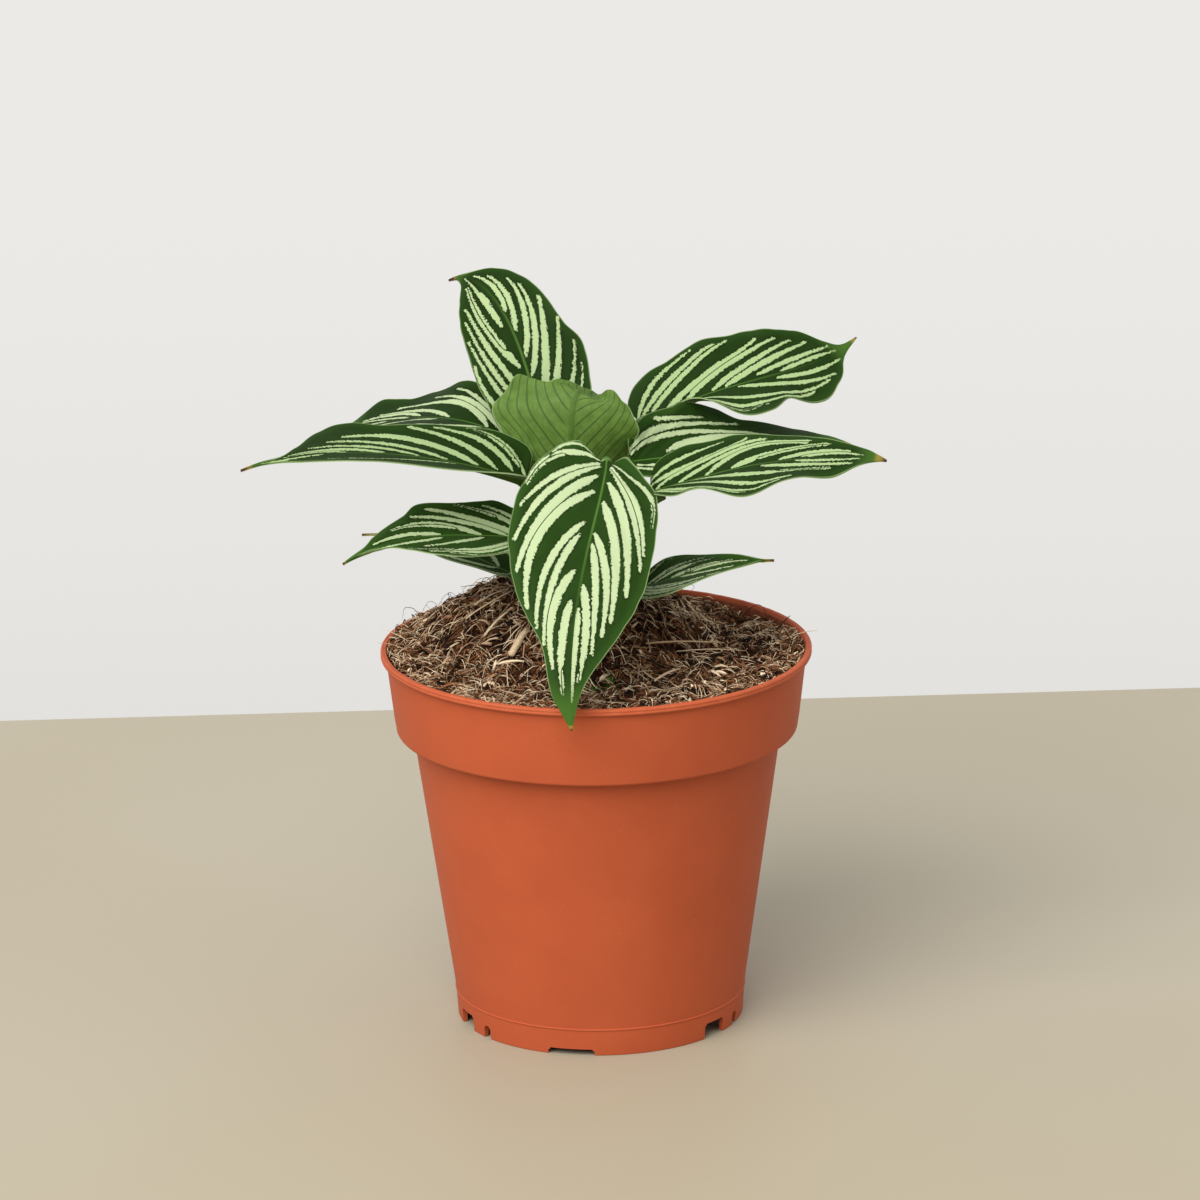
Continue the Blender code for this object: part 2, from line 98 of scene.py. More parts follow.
# %% A wire that can be used in sums
class Wire:
    """An output socket in a material's tree. Its operators add Math nodes."""

    def __init__(self, socket):
        self.socket = socket
        self.tree = socket.id_data

    def add(self, kind, settings=None, sockets=None, out=0):
        """Adds a node, sets it, feeds its sockets and gives the wire out of it."""
        return add_node(self.tree, kind, settings, sockets, out)

    def sum(self, operation, first, second=0.0):
        return self.add("ShaderNodeMath", {"operation": operation}, {0: first, 1: second})

    def __add__(self, other):
        return self.sum("ADD", self, other)

    def __radd__(self, other):
        return self.sum("ADD", other, self)

    def __sub__(self, other):
        return self.sum("SUBTRACT", self, other)

    def __rsub__(self, other):
        return self.sum("SUBTRACT", other, self)

    def __mul__(self, other):
        return self.sum("MULTIPLY", self, other)

    def __rmul__(self, other):
        return self.sum("MULTIPLY", other, self)

    def __abs__(self):
        return self.sum("ABSOLUTE", self)

    def floor(self):
        return self.sum("FLOOR", self)

    def least(self, other):
        return self.sum("MINIMUM", self, other)

    def ramp(self, low, high):
        """0 at low, 1 at high, and smooth between. High may be the lower one."""
        sockets = {"Value": self, "From Min": low, "From Max": high}
        return self.add("ShaderNodeMapRange", {"interpolation_type": "SMOOTHSTEP"}, sockets)


# %% Node and colour helpers
def add_node(tree, kind, settings=None, sockets=None, out=0):
    """One node of any kind. Settings are set first, then its sockets by name or number."""
    node = tree.nodes.new(kind)
    for name, value in (settings or {}).items():
        setattr(node, name, value)
    for key, value in (sockets or {}).items():
        if isinstance(value, Wire):
            tree.links.new(value.socket, node.inputs[key])
        else:
            node.inputs[key].default_value = value
    return Wire(node.outputs[out])


def mixed(share, first, second):
    """Two colours mixed by a share, each a wire or a plain colour. Sockets 6, 7 and 2 are colours."""
    wire = next(value for value in (share, first, second) if isinstance(value, Wire))
    colours = [value if isinstance(value, Wire) else (*value, 1) for value in (first, second)]
    sockets = {0: share, 6: colours[0], 7: colours[1]}
    return wire.add("ShaderNodeMix", {"data_type": "RGBA"}, sockets, 2)


def painted(code):
    """A colour as the shader reads it, from its six-figure web code."""
    values = [int(code[place:place + 2], 16) / 255 for place in (0, 2, 4)]
    return tuple(value / 12.92 if value < 0.04045 else ((value + 0.055) / 1.055) ** 2.4 for value in values)


def new_material(name):
    """A material with an empty tree but for its surface shader and output."""
    made = bpy.data.materials.new(name)
    made.use_nodes = True
    surface = made.node_tree.nodes["Principled BSDF"]
    return made, made.node_tree, surface


def feed(tree, surface, **inputs):
    """Links or sets the surface shader's sockets. Underscores in a name stand for spaces."""
    for name, value in inputs.items():
        socket = surface.inputs[name.replace("_", " ")]
        if isinstance(value, Wire):
            tree.links.new(value.socket, socket)
        else:
            socket.default_value = value


def bumped(height, strength, distance):
    """A normal from a height in units of the distance."""
    sockets = {"Strength": strength, "Distance": distance, "Height": height}
    return height.add("ShaderNodeBump", None, sockets)


def noise_of(tree, where, scale, detail=3.0, roughness=0.5, flow=0.0):
    """A cloud of values from 0 to 1 at a place wire."""
    sockets = {"Vector": where, "Scale": scale, "Detail": detail, "Roughness": roughness, "Distortion": flow}
    return add_node(tree, "ShaderNodeTexNoise", None, sockets)


def place_of(tree):
    """The place on the object, in metres."""
    return add_node(tree, "ShaderNodeTexCoord", None, None, "Object")


def pair_of(tree, name):
    """The two numbers that a mesh keeps for each corner under a name."""
    both = add_node(tree, "ShaderNodeUVMap", {"uv_map": name})
    split = both.add("ShaderNodeSeparateXYZ", None, {0: both})
    return split, Wire(split.socket.node.outputs[1])


def vector_of(tree, x, y, z=0.0):
    return add_node(tree, "ShaderNodeCombineXYZ", None, {0: x, 1: y, 2: z})


print("material helpers ready")

# %% [markdown]
# ## Meshes from rings
# The pot, the mix and the leaves are all skins over rings of points, so one helper makes a mesh from
# points and faces and hangs it on the solid model's body. Pairs of numbers can ride along with each
# corner of a face. They are stored as UV maps, which interpolate across a face and export well.

# %% Mesh helpers
def add_piece(name, points, faces, replaced, materials, kinds=None, pairs=None):
    """A mesh object that stands for solid nodes, rides on the body and has its materials."""
    mesh = bpy.data.meshes.new(name)
    mesh.from_pydata([tuple(point) for point in points], [], faces)
    for material in materials:
        mesh.materials.append(material)
    if kinds is not None:
        mesh.polygons.foreach_set("material_index", kinds)
    for label, values in (pairs or {}).items():
        mesh.uv_layers.new(name=label).data.foreach_set("uv", np.asarray(values, np.float32).ravel())
    mesh.shade_smooth()
    mesh.update()
    piece = bpy.data.objects.new(name, mesh)
    bpy.context.scene.collection.objects.link(piece)
    if replaced:
        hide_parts(*replaced)
    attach(piece, "root")
    triangles = sum(len(face) - 2 for face in faces)
    print(name, "has", triangles, "triangles")
    return piece


def turned(profile, sides):
    """Points and faces of a (radius, height) profile turned round Z, inside on its left."""
    points, faces = [], []
    for radius, height in profile:
        for side in range(sides):
            angle = math.tau * side / sides
            points.append((radius * math.cos(angle), radius * math.sin(angle), height))
    for row in range(len(profile) - 1):
        low, high = row * sides, (row + 1) * sides
        for side in range(sides):
            ahead = (side + 1) % sides
            faces.append((low + side, low + ahead, high + ahead, high + side))
    return points, faces


# %% [markdown]
# ## The pot
# A nursery pot is blown or pressed from thin coloured plastic. Its body tapers, a wider collar lets
# pots stack, the rim is rolled for stiffness, and a foot ring with gaps lets water out. The profile
# is turned again here with many more sides and with its edges rounded, because light caught on
# small round edges is what makes plastic look moulded.

# %% The pot's profile
POT_HEIGHT = 93.3 * MM
RIM_RADIUS = 52.5 * MM
RIM_WIDTH = 1.4 * MM
RIM_DEPTH = 1.9 * MM
COLLAR_TOP_RADIUS = 51.2 * MM
COLLAR_EDGE_RADIUS = 49.0 * MM
COLLAR_EDGE_HEIGHT = 73.0 * MM
BODY_TOP_RADIUS = 45.0 * MM
SEAM_RADIUS = 35.5 * MM
SEAM_HEIGHT = 6.7 * MM
FOOT_RADIUS = 35.1 * MM
WALL = 1.1 * MM
FLOOR_HEIGHT = 4.6 * MM
CENTRE_FOOT_RADIUS = 6.0 * MM
POT_SIDES = 288


def between(start, end, share):
    return start + (end - start) * share


def body_radius(height):
    """Outer radius of the tapered body."""
    return between(SEAM_RADIUS, BODY_TOP_RADIUS, (height - SEAM_HEIGHT) / (COLLAR_EDGE_HEIGHT - SEAM_HEIGHT))


def collar_radius(height):
    """Outer radius of the collar."""
    under_rim = POT_HEIGHT - RIM_DEPTH
    share = (height - COLLAR_EDGE_HEIGHT) / (under_rim - COLLAR_EDGE_HEIGHT)
    return between(COLLAR_EDGE_RADIUS, COLLAR_TOP_RADIUS, share)


def arc(centre, radius, start, end, steps):
    """Points round part of a circle in the (radius, height) plane, in degrees."""
    turns = [math.radians(between(start, end, step / steps)) for step in range(steps + 1)]
    return [(centre[0] + radius * math.cos(turn), centre[1] + radius * math.sin(turn)) for turn in turns]


def pot_profile():
    """The pot's section from under its centre foot, out over the foot ring and up to the rim, and back."""
    under_rim = POT_HEIGHT - RIM_DEPTH
    edge = COLLAR_EDGE_HEIGHT
    small = 0.25 * MM
    bead = 0.55 * MM
    foot = arc((CENTRE_FOOT_RADIUS - small, small), small, -90, 0, 4)
    foot += [(CENTRE_FOOT_RADIUS, FLOOR_HEIGHT)]
    ring = [(FOOT_RADIUS - WALL, FLOOR_HEIGHT), (FOOT_RADIUS - WALL, small)]
    ring += arc((FOOT_RADIUS - small, small), small, -90, 0, 4)
    seam = arc((SEAM_RADIUS, SEAM_HEIGHT), small, -80, 80, 6)
    body = [(body_radius(between(SEAM_HEIGHT, edge, share)), between(SEAM_HEIGHT, edge, share))
            for share in (0.05, 0.25, 0.5, 0.75, 0.98)]
    under = [(BODY_TOP_RADIUS + 0.1 * MM, edge - 0.3 * MM), (BODY_TOP_RADIUS + 0.5 * MM, edge)]
    collar = arc((COLLAR_EDGE_RADIUS - 0.8 * MM, edge + 0.8 * MM), 0.8 * MM, -90, 0, 6)
    collar += [(collar_radius(between(edge, under_rim, share)), between(edge, under_rim, share))
               for share in (0.2, 0.5, 0.8)]
    rim = [(COLLAR_TOP_RADIUS, under_rim - 0.2 * MM), (COLLAR_TOP_RADIUS + 0.35 * MM, under_rim)]
    rim += arc((RIM_RADIUS - bead, under_rim + bead + 0.1 * MM), bead, -60, 20, 5)
    rim += [(RIM_RADIUS - 0.12 * MM, under_rim + 0.95 * MM)]
    rim += arc((RIM_RADIUS - bead, POT_HEIGHT - bead), bead, -5, 90, 6)
    rim += [(RIM_RADIUS - 0.8 * MM, POT_HEIGHT - 0.1 * MM), (RIM_RADIUS - 1.05 * MM, POT_HEIGHT)]
    inside = [
        (RIM_RADIUS - RIM_WIDTH + 0.12 * MM, POT_HEIGHT - 0.05 * MM),
        (RIM_RADIUS - RIM_WIDTH, POT_HEIGHT - 0.3 * MM),
        (collar_radius(under_rim) - WALL, under_rim),
        (collar_radius(edge + WALL) - WALL, edge + WALL + 0.2 * MM),
        (body_radius(edge) - WALL + 0.2 * MM, edge + WALL),
        (body_radius(edge) - WALL, edge),
        (body_radius(FLOOR_HEIGHT + WALL) - WALL, FLOOR_HEIGHT + WALL),
    ]
    return foot + ring + seam + body + under + collar + rim + inside


print("pot profile has", len(pot_profile()), "points")

# %% [markdown]
# ### Gaps, vents and drain holes
# Water leaves through holes in the floor and then under the foot ring. The ring is cut by wedges in
# one Boolean, as a mould would leave them. On this pot each vent stands beside a short tooth.

# %% Cut the foot ring and the floor
GAP_ANGLES = (-12, 108, 228)
GAP_SPAN = 19
GAP_HEIGHT = 1.6 * MM
VENT_ANGLES = (52, 172, 292)
VENT_SPAN = 12
VENT_HEIGHT = 3.9 * MM
SLIT_TURN = 16
SLIT_SPAN = 4
SLIT_HEIGHT = 3.2 * MM
DRAIN_RADIUS = 3.6 * MM
DRAIN_CIRCLE = 24.0 * MM
DRAIN_COUNT = 6
CUT_PAST = 2.0 * MM


def add_cutter(shape):
    """A plain object from a bmesh, to cut with."""
    bmesh.ops.recalc_face_normals(shape, faces=shape.faces)
    mesh = bpy.data.meshes.new("cutter")
    shape.to_mesh(mesh)
    shape.free()
    cutter = bpy.data.objects.new("cutter", mesh)
    bpy.context.scene.collection.objects.link(cutter)
    return cutter


def foot_gap(angle, span, height):
    """A wedge through the foot ring, with its upper corners rounded."""
    shape = bmesh.new()
    bmesh.ops.create_cube(shape, size=1)
    width = 2 * FOOT_RADIUS * math.sin(math.radians(span / 2))
    size = (width, 8 * WALL, height + CUT_PAST)
    middle = (0, -FOOT_RADIUS, (height - CUT_PAST) / 2)
    for vertex in shape.verts:
        vertex.co = Vector([vertex.co[axis] * size[axis] + middle[axis] for axis in range(3)])
    tops = [edge for edge in shape.edges if all(vertex.co.z > 0 for vertex in edge.verts)]
    deep = [edge for edge in tops if abs(edge.verts[0].co.x - edge.verts[1].co.x) < MM]
    bmesh.ops.bevel(shape, geom=deep, offset=0.5 * MM, segments=3, affect="EDGES")
    bmesh.ops.rotate(shape, verts=shape.verts, matrix=Matrix.Rotation(math.radians(angle), 3, "Z"))
    return add_cutter(shape)


def drain_hole(index):
    turn = math.tau * (index + 0.5) / DRAIN_COUNT
    shape = bmesh.new()
    bmesh.ops.create_cone(
        shape, cap_ends=True, segments=48, radius1=DRAIN_RADIUS, radius2=DRAIN_RADIUS, depth=4 * CUT_PAST
    )
    middle = (DRAIN_CIRCLE * math.cos(turn), DRAIN_CIRCLE * math.sin(turn), FLOOR_HEIGHT)
    bmesh.ops.translate(shape, verts=shape.verts, vec=middle)
    return add_cutter(shape)


def cut(target, cutters):
    """Takes the cutters out of the target and removes them."""
    group = bpy.data.collections.new("cutters")
    for cutter in cutters:
        group.objects.link(cutter)
    modifier = target.modifiers.new("Cut", "BOOLEAN")
    modifier.operand_type = "COLLECTION"
    modifier.collection = group
    modifier.solver = "EXACT"
    graph = bpy.context.evaluated_depsgraph_get()
    solid = bpy.data.meshes.new_from_object(target.evaluated_get(graph))
    target.modifiers.remove(modifier)
    target.data = solid
    for cutter in cutters:
        bpy.data.objects.remove(cutter)
    bpy.data.collections.remove(group)


# %% [markdown]
# ### The plastic
# The pot is coloured right through with an orange terracotta pigment, a little uneven and with
# specks of lighter pigment. The surface is satin. The rolled rim is handled, stacked and trimmed, so
# it is rubbed paler and rougher, with fine lines round it. The wall inside is painted brown, as dust
# from the mix and as painted shade. The inner wall leans outwards, so this browning keeps to a radius
# that grows with height.

# %% Pot plastic
PLASTIC = painted("AE5231")
PLASTIC_DEEP = painted("A84E2F")
PLASTIC_RUBBED = painted("B55C3B")
PLASTIC_SPECK = painted("B8714F")
WALL_DUST_AND_SHADE = painted("4A2C1A")
SHADED_WALL_SLOPE = (COLLAR_TOP_RADIUS - COLLAR_EDGE_RADIUS) / (POT_HEIGHT - RIM_DEPTH - COLLAR_EDGE_HEIGHT)
SHADED_WALL_RADIUS = COLLAR_EDGE_RADIUS - COLLAR_EDGE_HEIGHT * SHADED_WALL_SLOPE - 0.75 * MM
SHADED_WALL_EDGE = 0.35 * MM
SHADED_WALL_HEIGHTS = (70 * MM, 80 * MM)


def pot_plastic():
    made, tree, surface = new_material("pot_plastic")
    where = place_of(tree)
    across = where.add("ShaderNodeSeparateXYZ", None, {0: where})
    ahead, height = [Wire(across.socket.node.outputs[index]) for index in (1, 2)]
    clouds = noise_of(tree, where, 45, 4, 0.55)
    grain = noise_of(tree, where, 2600, 2, 0.6)
    pits = noise_of(tree, where, 620, 3, 0.6)
    specks = noise_of(tree, where, 2300, 0, 0.5).ramp(0.77, 0.82)
    rings = noise_of(tree, vector_of(tree, 0.0, 0.0, height), 3200, 2, 0.7)
    rim = height.ramp(POT_HEIGHT - RIM_DEPTH - 0.3 * MM, POT_HEIGHT - RIM_DEPTH + 0.5 * MM)
    scuffs = noise_of(tree, where, 340, 5, 0.7).ramp(0.42, 0.68)
    colour = mixed(clouds.ramp(0.3, 0.7), PLASTIC_DEEP, PLASTIC)
    colour = mixed(specks * 0.3, colour, PLASTIC_SPECK)
    colour = mixed(rim * (0.2 + 0.6 * scuffs), colour, PLASTIC_RUBBED)
    level = vector_of(tree, across, ahead)
    radius = level.add("ShaderNodeVectorMath", {"operation": "LENGTH"}, {0: level}, 1)
    # The upper wall inside is browned: dust from the mix and painted shade.
    inner = (radius - height * SHADED_WALL_SLOPE).ramp(SHADED_WALL_RADIUS + SHADED_WALL_EDGE, SHADED_WALL_RADIUS)
    dust_and_shade = inner * height.ramp(*SHADED_WALL_HEIGHTS)
    colour = mixed(dust_and_shade * (0.6 + 0.4 * scuffs), colour, WALL_DUST_AND_SHADE)
    roughness = 0.5 + 0.1 * pits + rim * 0.12 * scuffs
    relief = grain * 0.35 + pits * 0.5 + rim * (rings + scuffs * 1.6)
    feed(tree, surface, Base_Color=colour, Roughness=roughness, Normal=bumped(relief, 0.3, 0.1 * MM))
    feed(tree, surface, Specular_IOR_Level=0.14)
    return made


# %% Build the pot
RIM_WEAR = 0.14 * MM
WORN_DEPTH = 0.7 * MM
WORN_FADE = 0.6 * MM
OUTER_WEAR = 0.35
WIDE_WEAR = 420
FINE_WEAR = 1100


def build_pot():
    """Turns the profile, roughens the trimmed rim and cuts the gaps."""
    points, faces = turned(pot_profile(), POT_SIDES)
    faces.append(tuple(range(POT_SIDES))[::-1])
    last = len(points) - POT_SIDES
    faces.append(tuple(range(last, len(points))))
    worn = []
    for point in points:
        place = Vector(point)
        near = max(0, min(1, (place.z - POT_HEIGHT + WORN_DEPTH) / WORN_FADE))
        shake = noise.noise(place * WIDE_WEAR) + 0.6 * noise.noise(place * FINE_WEAR)
        trimmed = 1 if math.hypot(place.x, place.y) < RIM_RADIUS - 0.6 * MM else OUTER_WEAR
        place.z += RIM_WEAR * shake * near * trimmed
        worn.append(place)
    pot = add_piece("pot_moulding", worn, faces, ["pot"], [pot_plastic()])
    cutters = [foot_gap(angle, GAP_SPAN, GAP_HEIGHT) for angle in GAP_ANGLES]
    for angle in VENT_ANGLES:
        cutters.append(foot_gap(angle, VENT_SPAN, VENT_HEIGHT))
        cutters.append(foot_gap(angle + SLIT_TURN, SLIT_SPAN, SLIT_HEIGHT))
    cutters += [drain_hole(index) for index in range(DRAIN_COUNT)]
    cut(pot, cutters)
    pot.data.shade_smooth()
    pot.data.set_sharp_from_angle(angle=math.radians(40))
    return pot


pot = build_pot()
print("pot faces:", len(pot.data.polygons))

# %% [markdown]
# ## The potting mix
# The mix is coir and peat: dark crumbs bound by a felt of pale fibres, heaped up round the plant. A
# height formula gives the heap its mound, its hollow and its clumps. On top of it come loose crumbs
# and thousands of fibres, because a bumpy surface alone would look like a rug.

# %% The heap's surface
SOIL_EDGE = 1.2 * MM
SOIL_GAP = 0.3 * MM
SOIL_EDGE_RADIUS = 49.6 * MM
SOIL_SHOULDER = 89.0 * MM
CLUMP_HEIGHT = 1.1 * MM
CRUST_HEIGHT = 1.5 * MM
CRUST_SCALE = 260
PIT_SCALE = 900
SOIL_SIDES = 260
SOIL_RINGS = 100
Rise = namedtuple("Rise", "height centre spread power")
MOUND = Rise(14.0 * MM, (-7 * MM, 12 * MM), 32 * MM, 4)
HOLLOW = Rise(3.5 * MM, (18 * MM, -8 * MM), 9 * MM, 2)
SLUMP = Rise(2.2 * MM, (34 * MM, 26 * MM), 14 * MM, 2)
BANK = Rise(1.9 * MM, (-42 * MM, 18 * MM), 22 * MM, 2)


def rise_at(x, y, rise):
    """What a rounded rise adds at a place. It fades over its spread."""
    away = math.hypot(x - rise.centre[0], y - rise.centre[1])
    return rise.height * math.exp(-((away / rise.spread) ** rise.power))


def soil_height(x, y):
    """Height of the heap: a mound behind the middle, two low places and clumps of fibre."""
    to_wall = min(1, math.hypot(x, y) / SOIL_EDGE_RADIUS)
    mound = rise_at(x, y, MOUND) * (1 - to_wall ** 6)
    u, v = x / MM, y / MM
    clumps = math.sin(0.42 * u + 1.3 * math.sin(0.31 * v)) * math.sin(0.47 * v + 0.9)
    clumps += 0.6 * math.sin(0.83 * u - 0.55 * v + 2.1) * math.sin(0.71 * v + 0.36 * u)
    ground = POT_HEIGHT - SOIL_EDGE + CLUMP_HEIGHT * clumps * (1 - 0.8 * to_wall ** 8)
    return ground + mound - rise_at(x, y, HOLLOW) - rise_at(x, y, SLUMP)


def crust_height(x, y):
    """The heap with its crumbly crust and a low bank on the left, too fine for the solid model."""
    place = Vector((x, y, 0))
    crumbs = noise.turbulence(place * CRUST_SCALE, 4, False) - 0.5
    pits = noise.noise(place * PIT_SCALE)
    fade = min(1, max(0, (SOIL_EDGE_RADIUS - math.hypot(x, y)) / (2 * MM)))
    crust = CRUST_HEIGHT * (crumbs + 0.35 * pits) * (0.4 + 0.6 * fade)
    return soil_height(x, y) + rise_at(x, y, BANK) + crust


# %% Soil finishes
PEAT = painted("140702")
PEAT_WARM = painted("3E200D")
COIR = painted("8E5C36")
STRAW = painted("F6DFBC")


def soil_crust():
    """Dark peat with warmer crumbs and short fibres drawn by warped noise."""
    made, tree, surface = new_material("soil_crust")
    where = place_of(tree)
    crumbs = noise_of(tree, where, 520, 6, 0.7)
    patches = noise_of(tree, where, 90, 3, 0.6)
    hairs = noise_of(tree, where, 1500, 2, 0.6, 1.8)
    colour = mixed(crumbs.ramp(0.38, 0.68), PEAT, PEAT_WARM)
    colour = mixed(patches.ramp(0.5, 0.75) * 0.2, colour, COIR)
    colour = mixed(hairs.ramp(0.62, 0.72) * 0.35, colour, COIR)
    relief = crumbs * 1.2 + hairs * 0.5
    feed(tree, surface, Base_Color=colour, Roughness=0.95, Normal=bumped(relief, 0.9, 0.6 * MM))
    feed(tree, surface, Specular_IOR_Level=0.15)
    return made


def loose_bits(name, dark, middle, light):
    """Crumbs, fibres and chips. Each one keeps a tone from 0 for dark to 1 for light."""
    made, tree, surface = new_material(name)
    tone, _ = pair_of(tree, "tone")
    ramp = tone.add("ShaderNodeValToRGB", None, {0: tone})
    elements = ramp.socket.node.color_ramp.elements
    elements.new(0.5)
    for element, colour in zip(elements, (dark, middle, light)):
        element.color = (*colour, 1)
    grain = noise_of(tree, place_of(tree), 2200, 3, 0.6)
    colour = mixed(grain.ramp(0.35, 0.7) * 0.22, ramp, dark)
    feed(tree, surface, Base_Color=colour, Roughness=0.85, Normal=bumped(grain, 0.5, 0.1 * MM))
    feed(tree, surface, Specular_IOR_Level=0.2)
    return made


# %% Build the heap
def build_soil():
    """The root ball: a finely broken top, sides just inside the pot's wall and a flat bottom."""
    rings = []
    for ring in range(SOIL_RINGS):
        radius = SOIL_EDGE_RADIUS * (1 - ring / SOIL_RINGS)
        turns = [math.tau * side / SOIL_SIDES for side in range(SOIL_SIDES)]
        spots = [(radius * math.cos(turn), radius * math.sin(turn)) for turn in turns]
        rings.append([(x, y, crust_height(x, y)) for x, y in spots])
    low, edge, wide = FLOOR_HEIGHT + WALL + SOIL_GAP, COLLAR_EDGE_HEIGHT, COLLAR_EDGE_HEIGHT + 3 * MM
    wall = [(body_radius(height) - WALL - SOIL_GAP, height) for height in (low, edge)]
    wall.append((collar_radius(wide) - WALL - SOIL_GAP, wide))
    wall.append((SOIL_EDGE_RADIUS - 0.1 * MM, SOIL_SHOULDER))
    points, faces = turned(wall, SOIL_SIDES)
    for ring in rings:
        base = len(points) - SOIL_SIDES
        points += ring
        for side in range(SOIL_SIDES):
            ahead = (side + 1) % SOIL_SIDES
            faces.append((base + side, base + ahead, base + SOIL_SIDES + ahead, base + SOIL_SIDES + side))
    faces.append(tuple(range(SOIL_SIDES))[::-1])
    points.append((0, 0, crust_height(0, 0)))
    last = len(points) - 1 - SOIL_SIDES
    for side in range(SOIL_SIDES):
        faces.append((last + side, last + (side + 1) % SOIL_SIDES, len(points) - 1))
    add_piece("soil_heap", points, faces, ["soil"], [soil_crust()])


build_soil()

# %% [markdown]
# ### Crumbs
# Real crumbs are little broken lumps. A twenty-sided ball with its corners pushed about by chance
# makes a good one, and it costs only twenty triangles. All loose pieces gather their points, faces
# and tones in a store.

# %% Scatter the crumbs
Store = namedtuple("Store", "points faces tones")
CRUMB_COUNT = 3000
CRUMB_SIZES = (0.25 * MM, 1.1 * MM)
CRUMB_REACH = 0.99


def ball_points():
    """Corners and faces of a twenty-sided ball of radius 1."""
    shape = bmesh.new()
    bmesh.ops.create_icosphere(shape, subdivisions=1, radius=1)
    points = [vertex.co.copy() for vertex in shape.verts]
    faces = [tuple(vertex.index for vertex in face.verts) for face in shape.faces]
    shape.free()
    return points, faces


def loose_piece(name, store, finish):
    """A piece of the potting mix that stands for no solid."""
    tones = {"tone": store.tones}
    return add_piece(name, store.points, store.faces, [], [finish], None, tones)


def random_spot(draw):
    """A random place on the heap, evenly spread."""
    radius = SOIL_EDGE_RADIUS * CRUMB_REACH * math.sqrt(draw.random())
    turn = draw.uniform(0, math.tau)
    return radius * math.cos(turn), radius * math.sin(turn)


def scatter_crumbs():
    draw = random.Random(11)
    ball, sides = ball_points()
    store = Store([], [], [])
    for _ in range(CRUMB_COUNT):
        x, y = random_spot(draw)
        size = between(*CRUMB_SIZES, draw.random() ** 2.5)
        middle = Vector((x, y, crust_height(x, y) + 0.3 * size))
        turn = Quaternion([draw.gauss(0, 1) for _ in range(4)]).normalized()
        flat = Vector((1, draw.uniform(0.5, 1), draw.uniform(0.35, 0.8)))
        tone = draw.random() ** 1.6 * 0.8
        base = len(store.points)
        for corner in ball:
            lump = Vector([corner[axis] * flat[axis] for axis in range(3)]) * draw.uniform(0.7, 1.25)
            store.points.append(middle + turn @ (lump * size))
        for face in sides:
            store.faces.append(tuple(base + index for index in face))
            store.tones.extend([(tone, 0)] * 3)
    piece = loose_piece("soil_crumbs", store, loose_bits("soil_crumbs", PEAT, PEAT_WARM, COIR))
    for polygon in piece.data.polygons:
        polygon.use_smooth = False


scatter_crumbs()

# %% [markdown]
# ### Fibres
# Each fibre is a thin three-sided tube along a nearly straight line that hugs the heap and lifts a
# little. They lie in small bundles that point the same way, as torn husk does. Short dark ones make
# the shredded felt, and longer pale ones lie on top of it. Chips of husk, dark root hairs and small
# pale grains lie among them. The largest sticks have places of their own. Lengths, thicknesses and
# places are in millimetres, a bend is in radians a step, and a tone runs from 0 to 1.

# %% Kinds of fibre
Fibre = namedtuple("Fibre", "count bundle length thickness bend lift steps tone seed")
FELT = Fibre(6600, 6, (1.5, 4.5), (0.08, 0.2), 0.07, 1.1, 3, (0.0, 0.66), 21)
STRANDS = Fibre(2700, 3, (2, 7), (0.06, 0.15), 0.06, 1.6, 4, (0.5, 1.25), 22)
HAIRS = Fibre(150, 1, (6, 14), (0.06, 0.1), 0.3, 5.0, 8, (0.0, 0.12), 23)
CHIPS = Fibre(320, 1, (1.5, 5), (0.2, 0.6), 0.03, 1.1, 3, (0.45, 1.05), 24)
GRAINS = Fibre(160, 1, (0.25, 0.5), (0.14, 0.28), 0.0, 0.6, 3, (0.8, 1.0), 25)
RIM_FIBRES = Fibre(1900, 3, (2, 5), (0.1, 0.2), 0.12, 1.4, 4, (0.05, 0.9), 26)
FIBRE_REACH = SOIL_EDGE_RADIUS + 1.1 * MM
FIBRE_LIFT = 0.15
RIM_START = 0.86
BUNDLE_SPREAD = 0.9 * MM
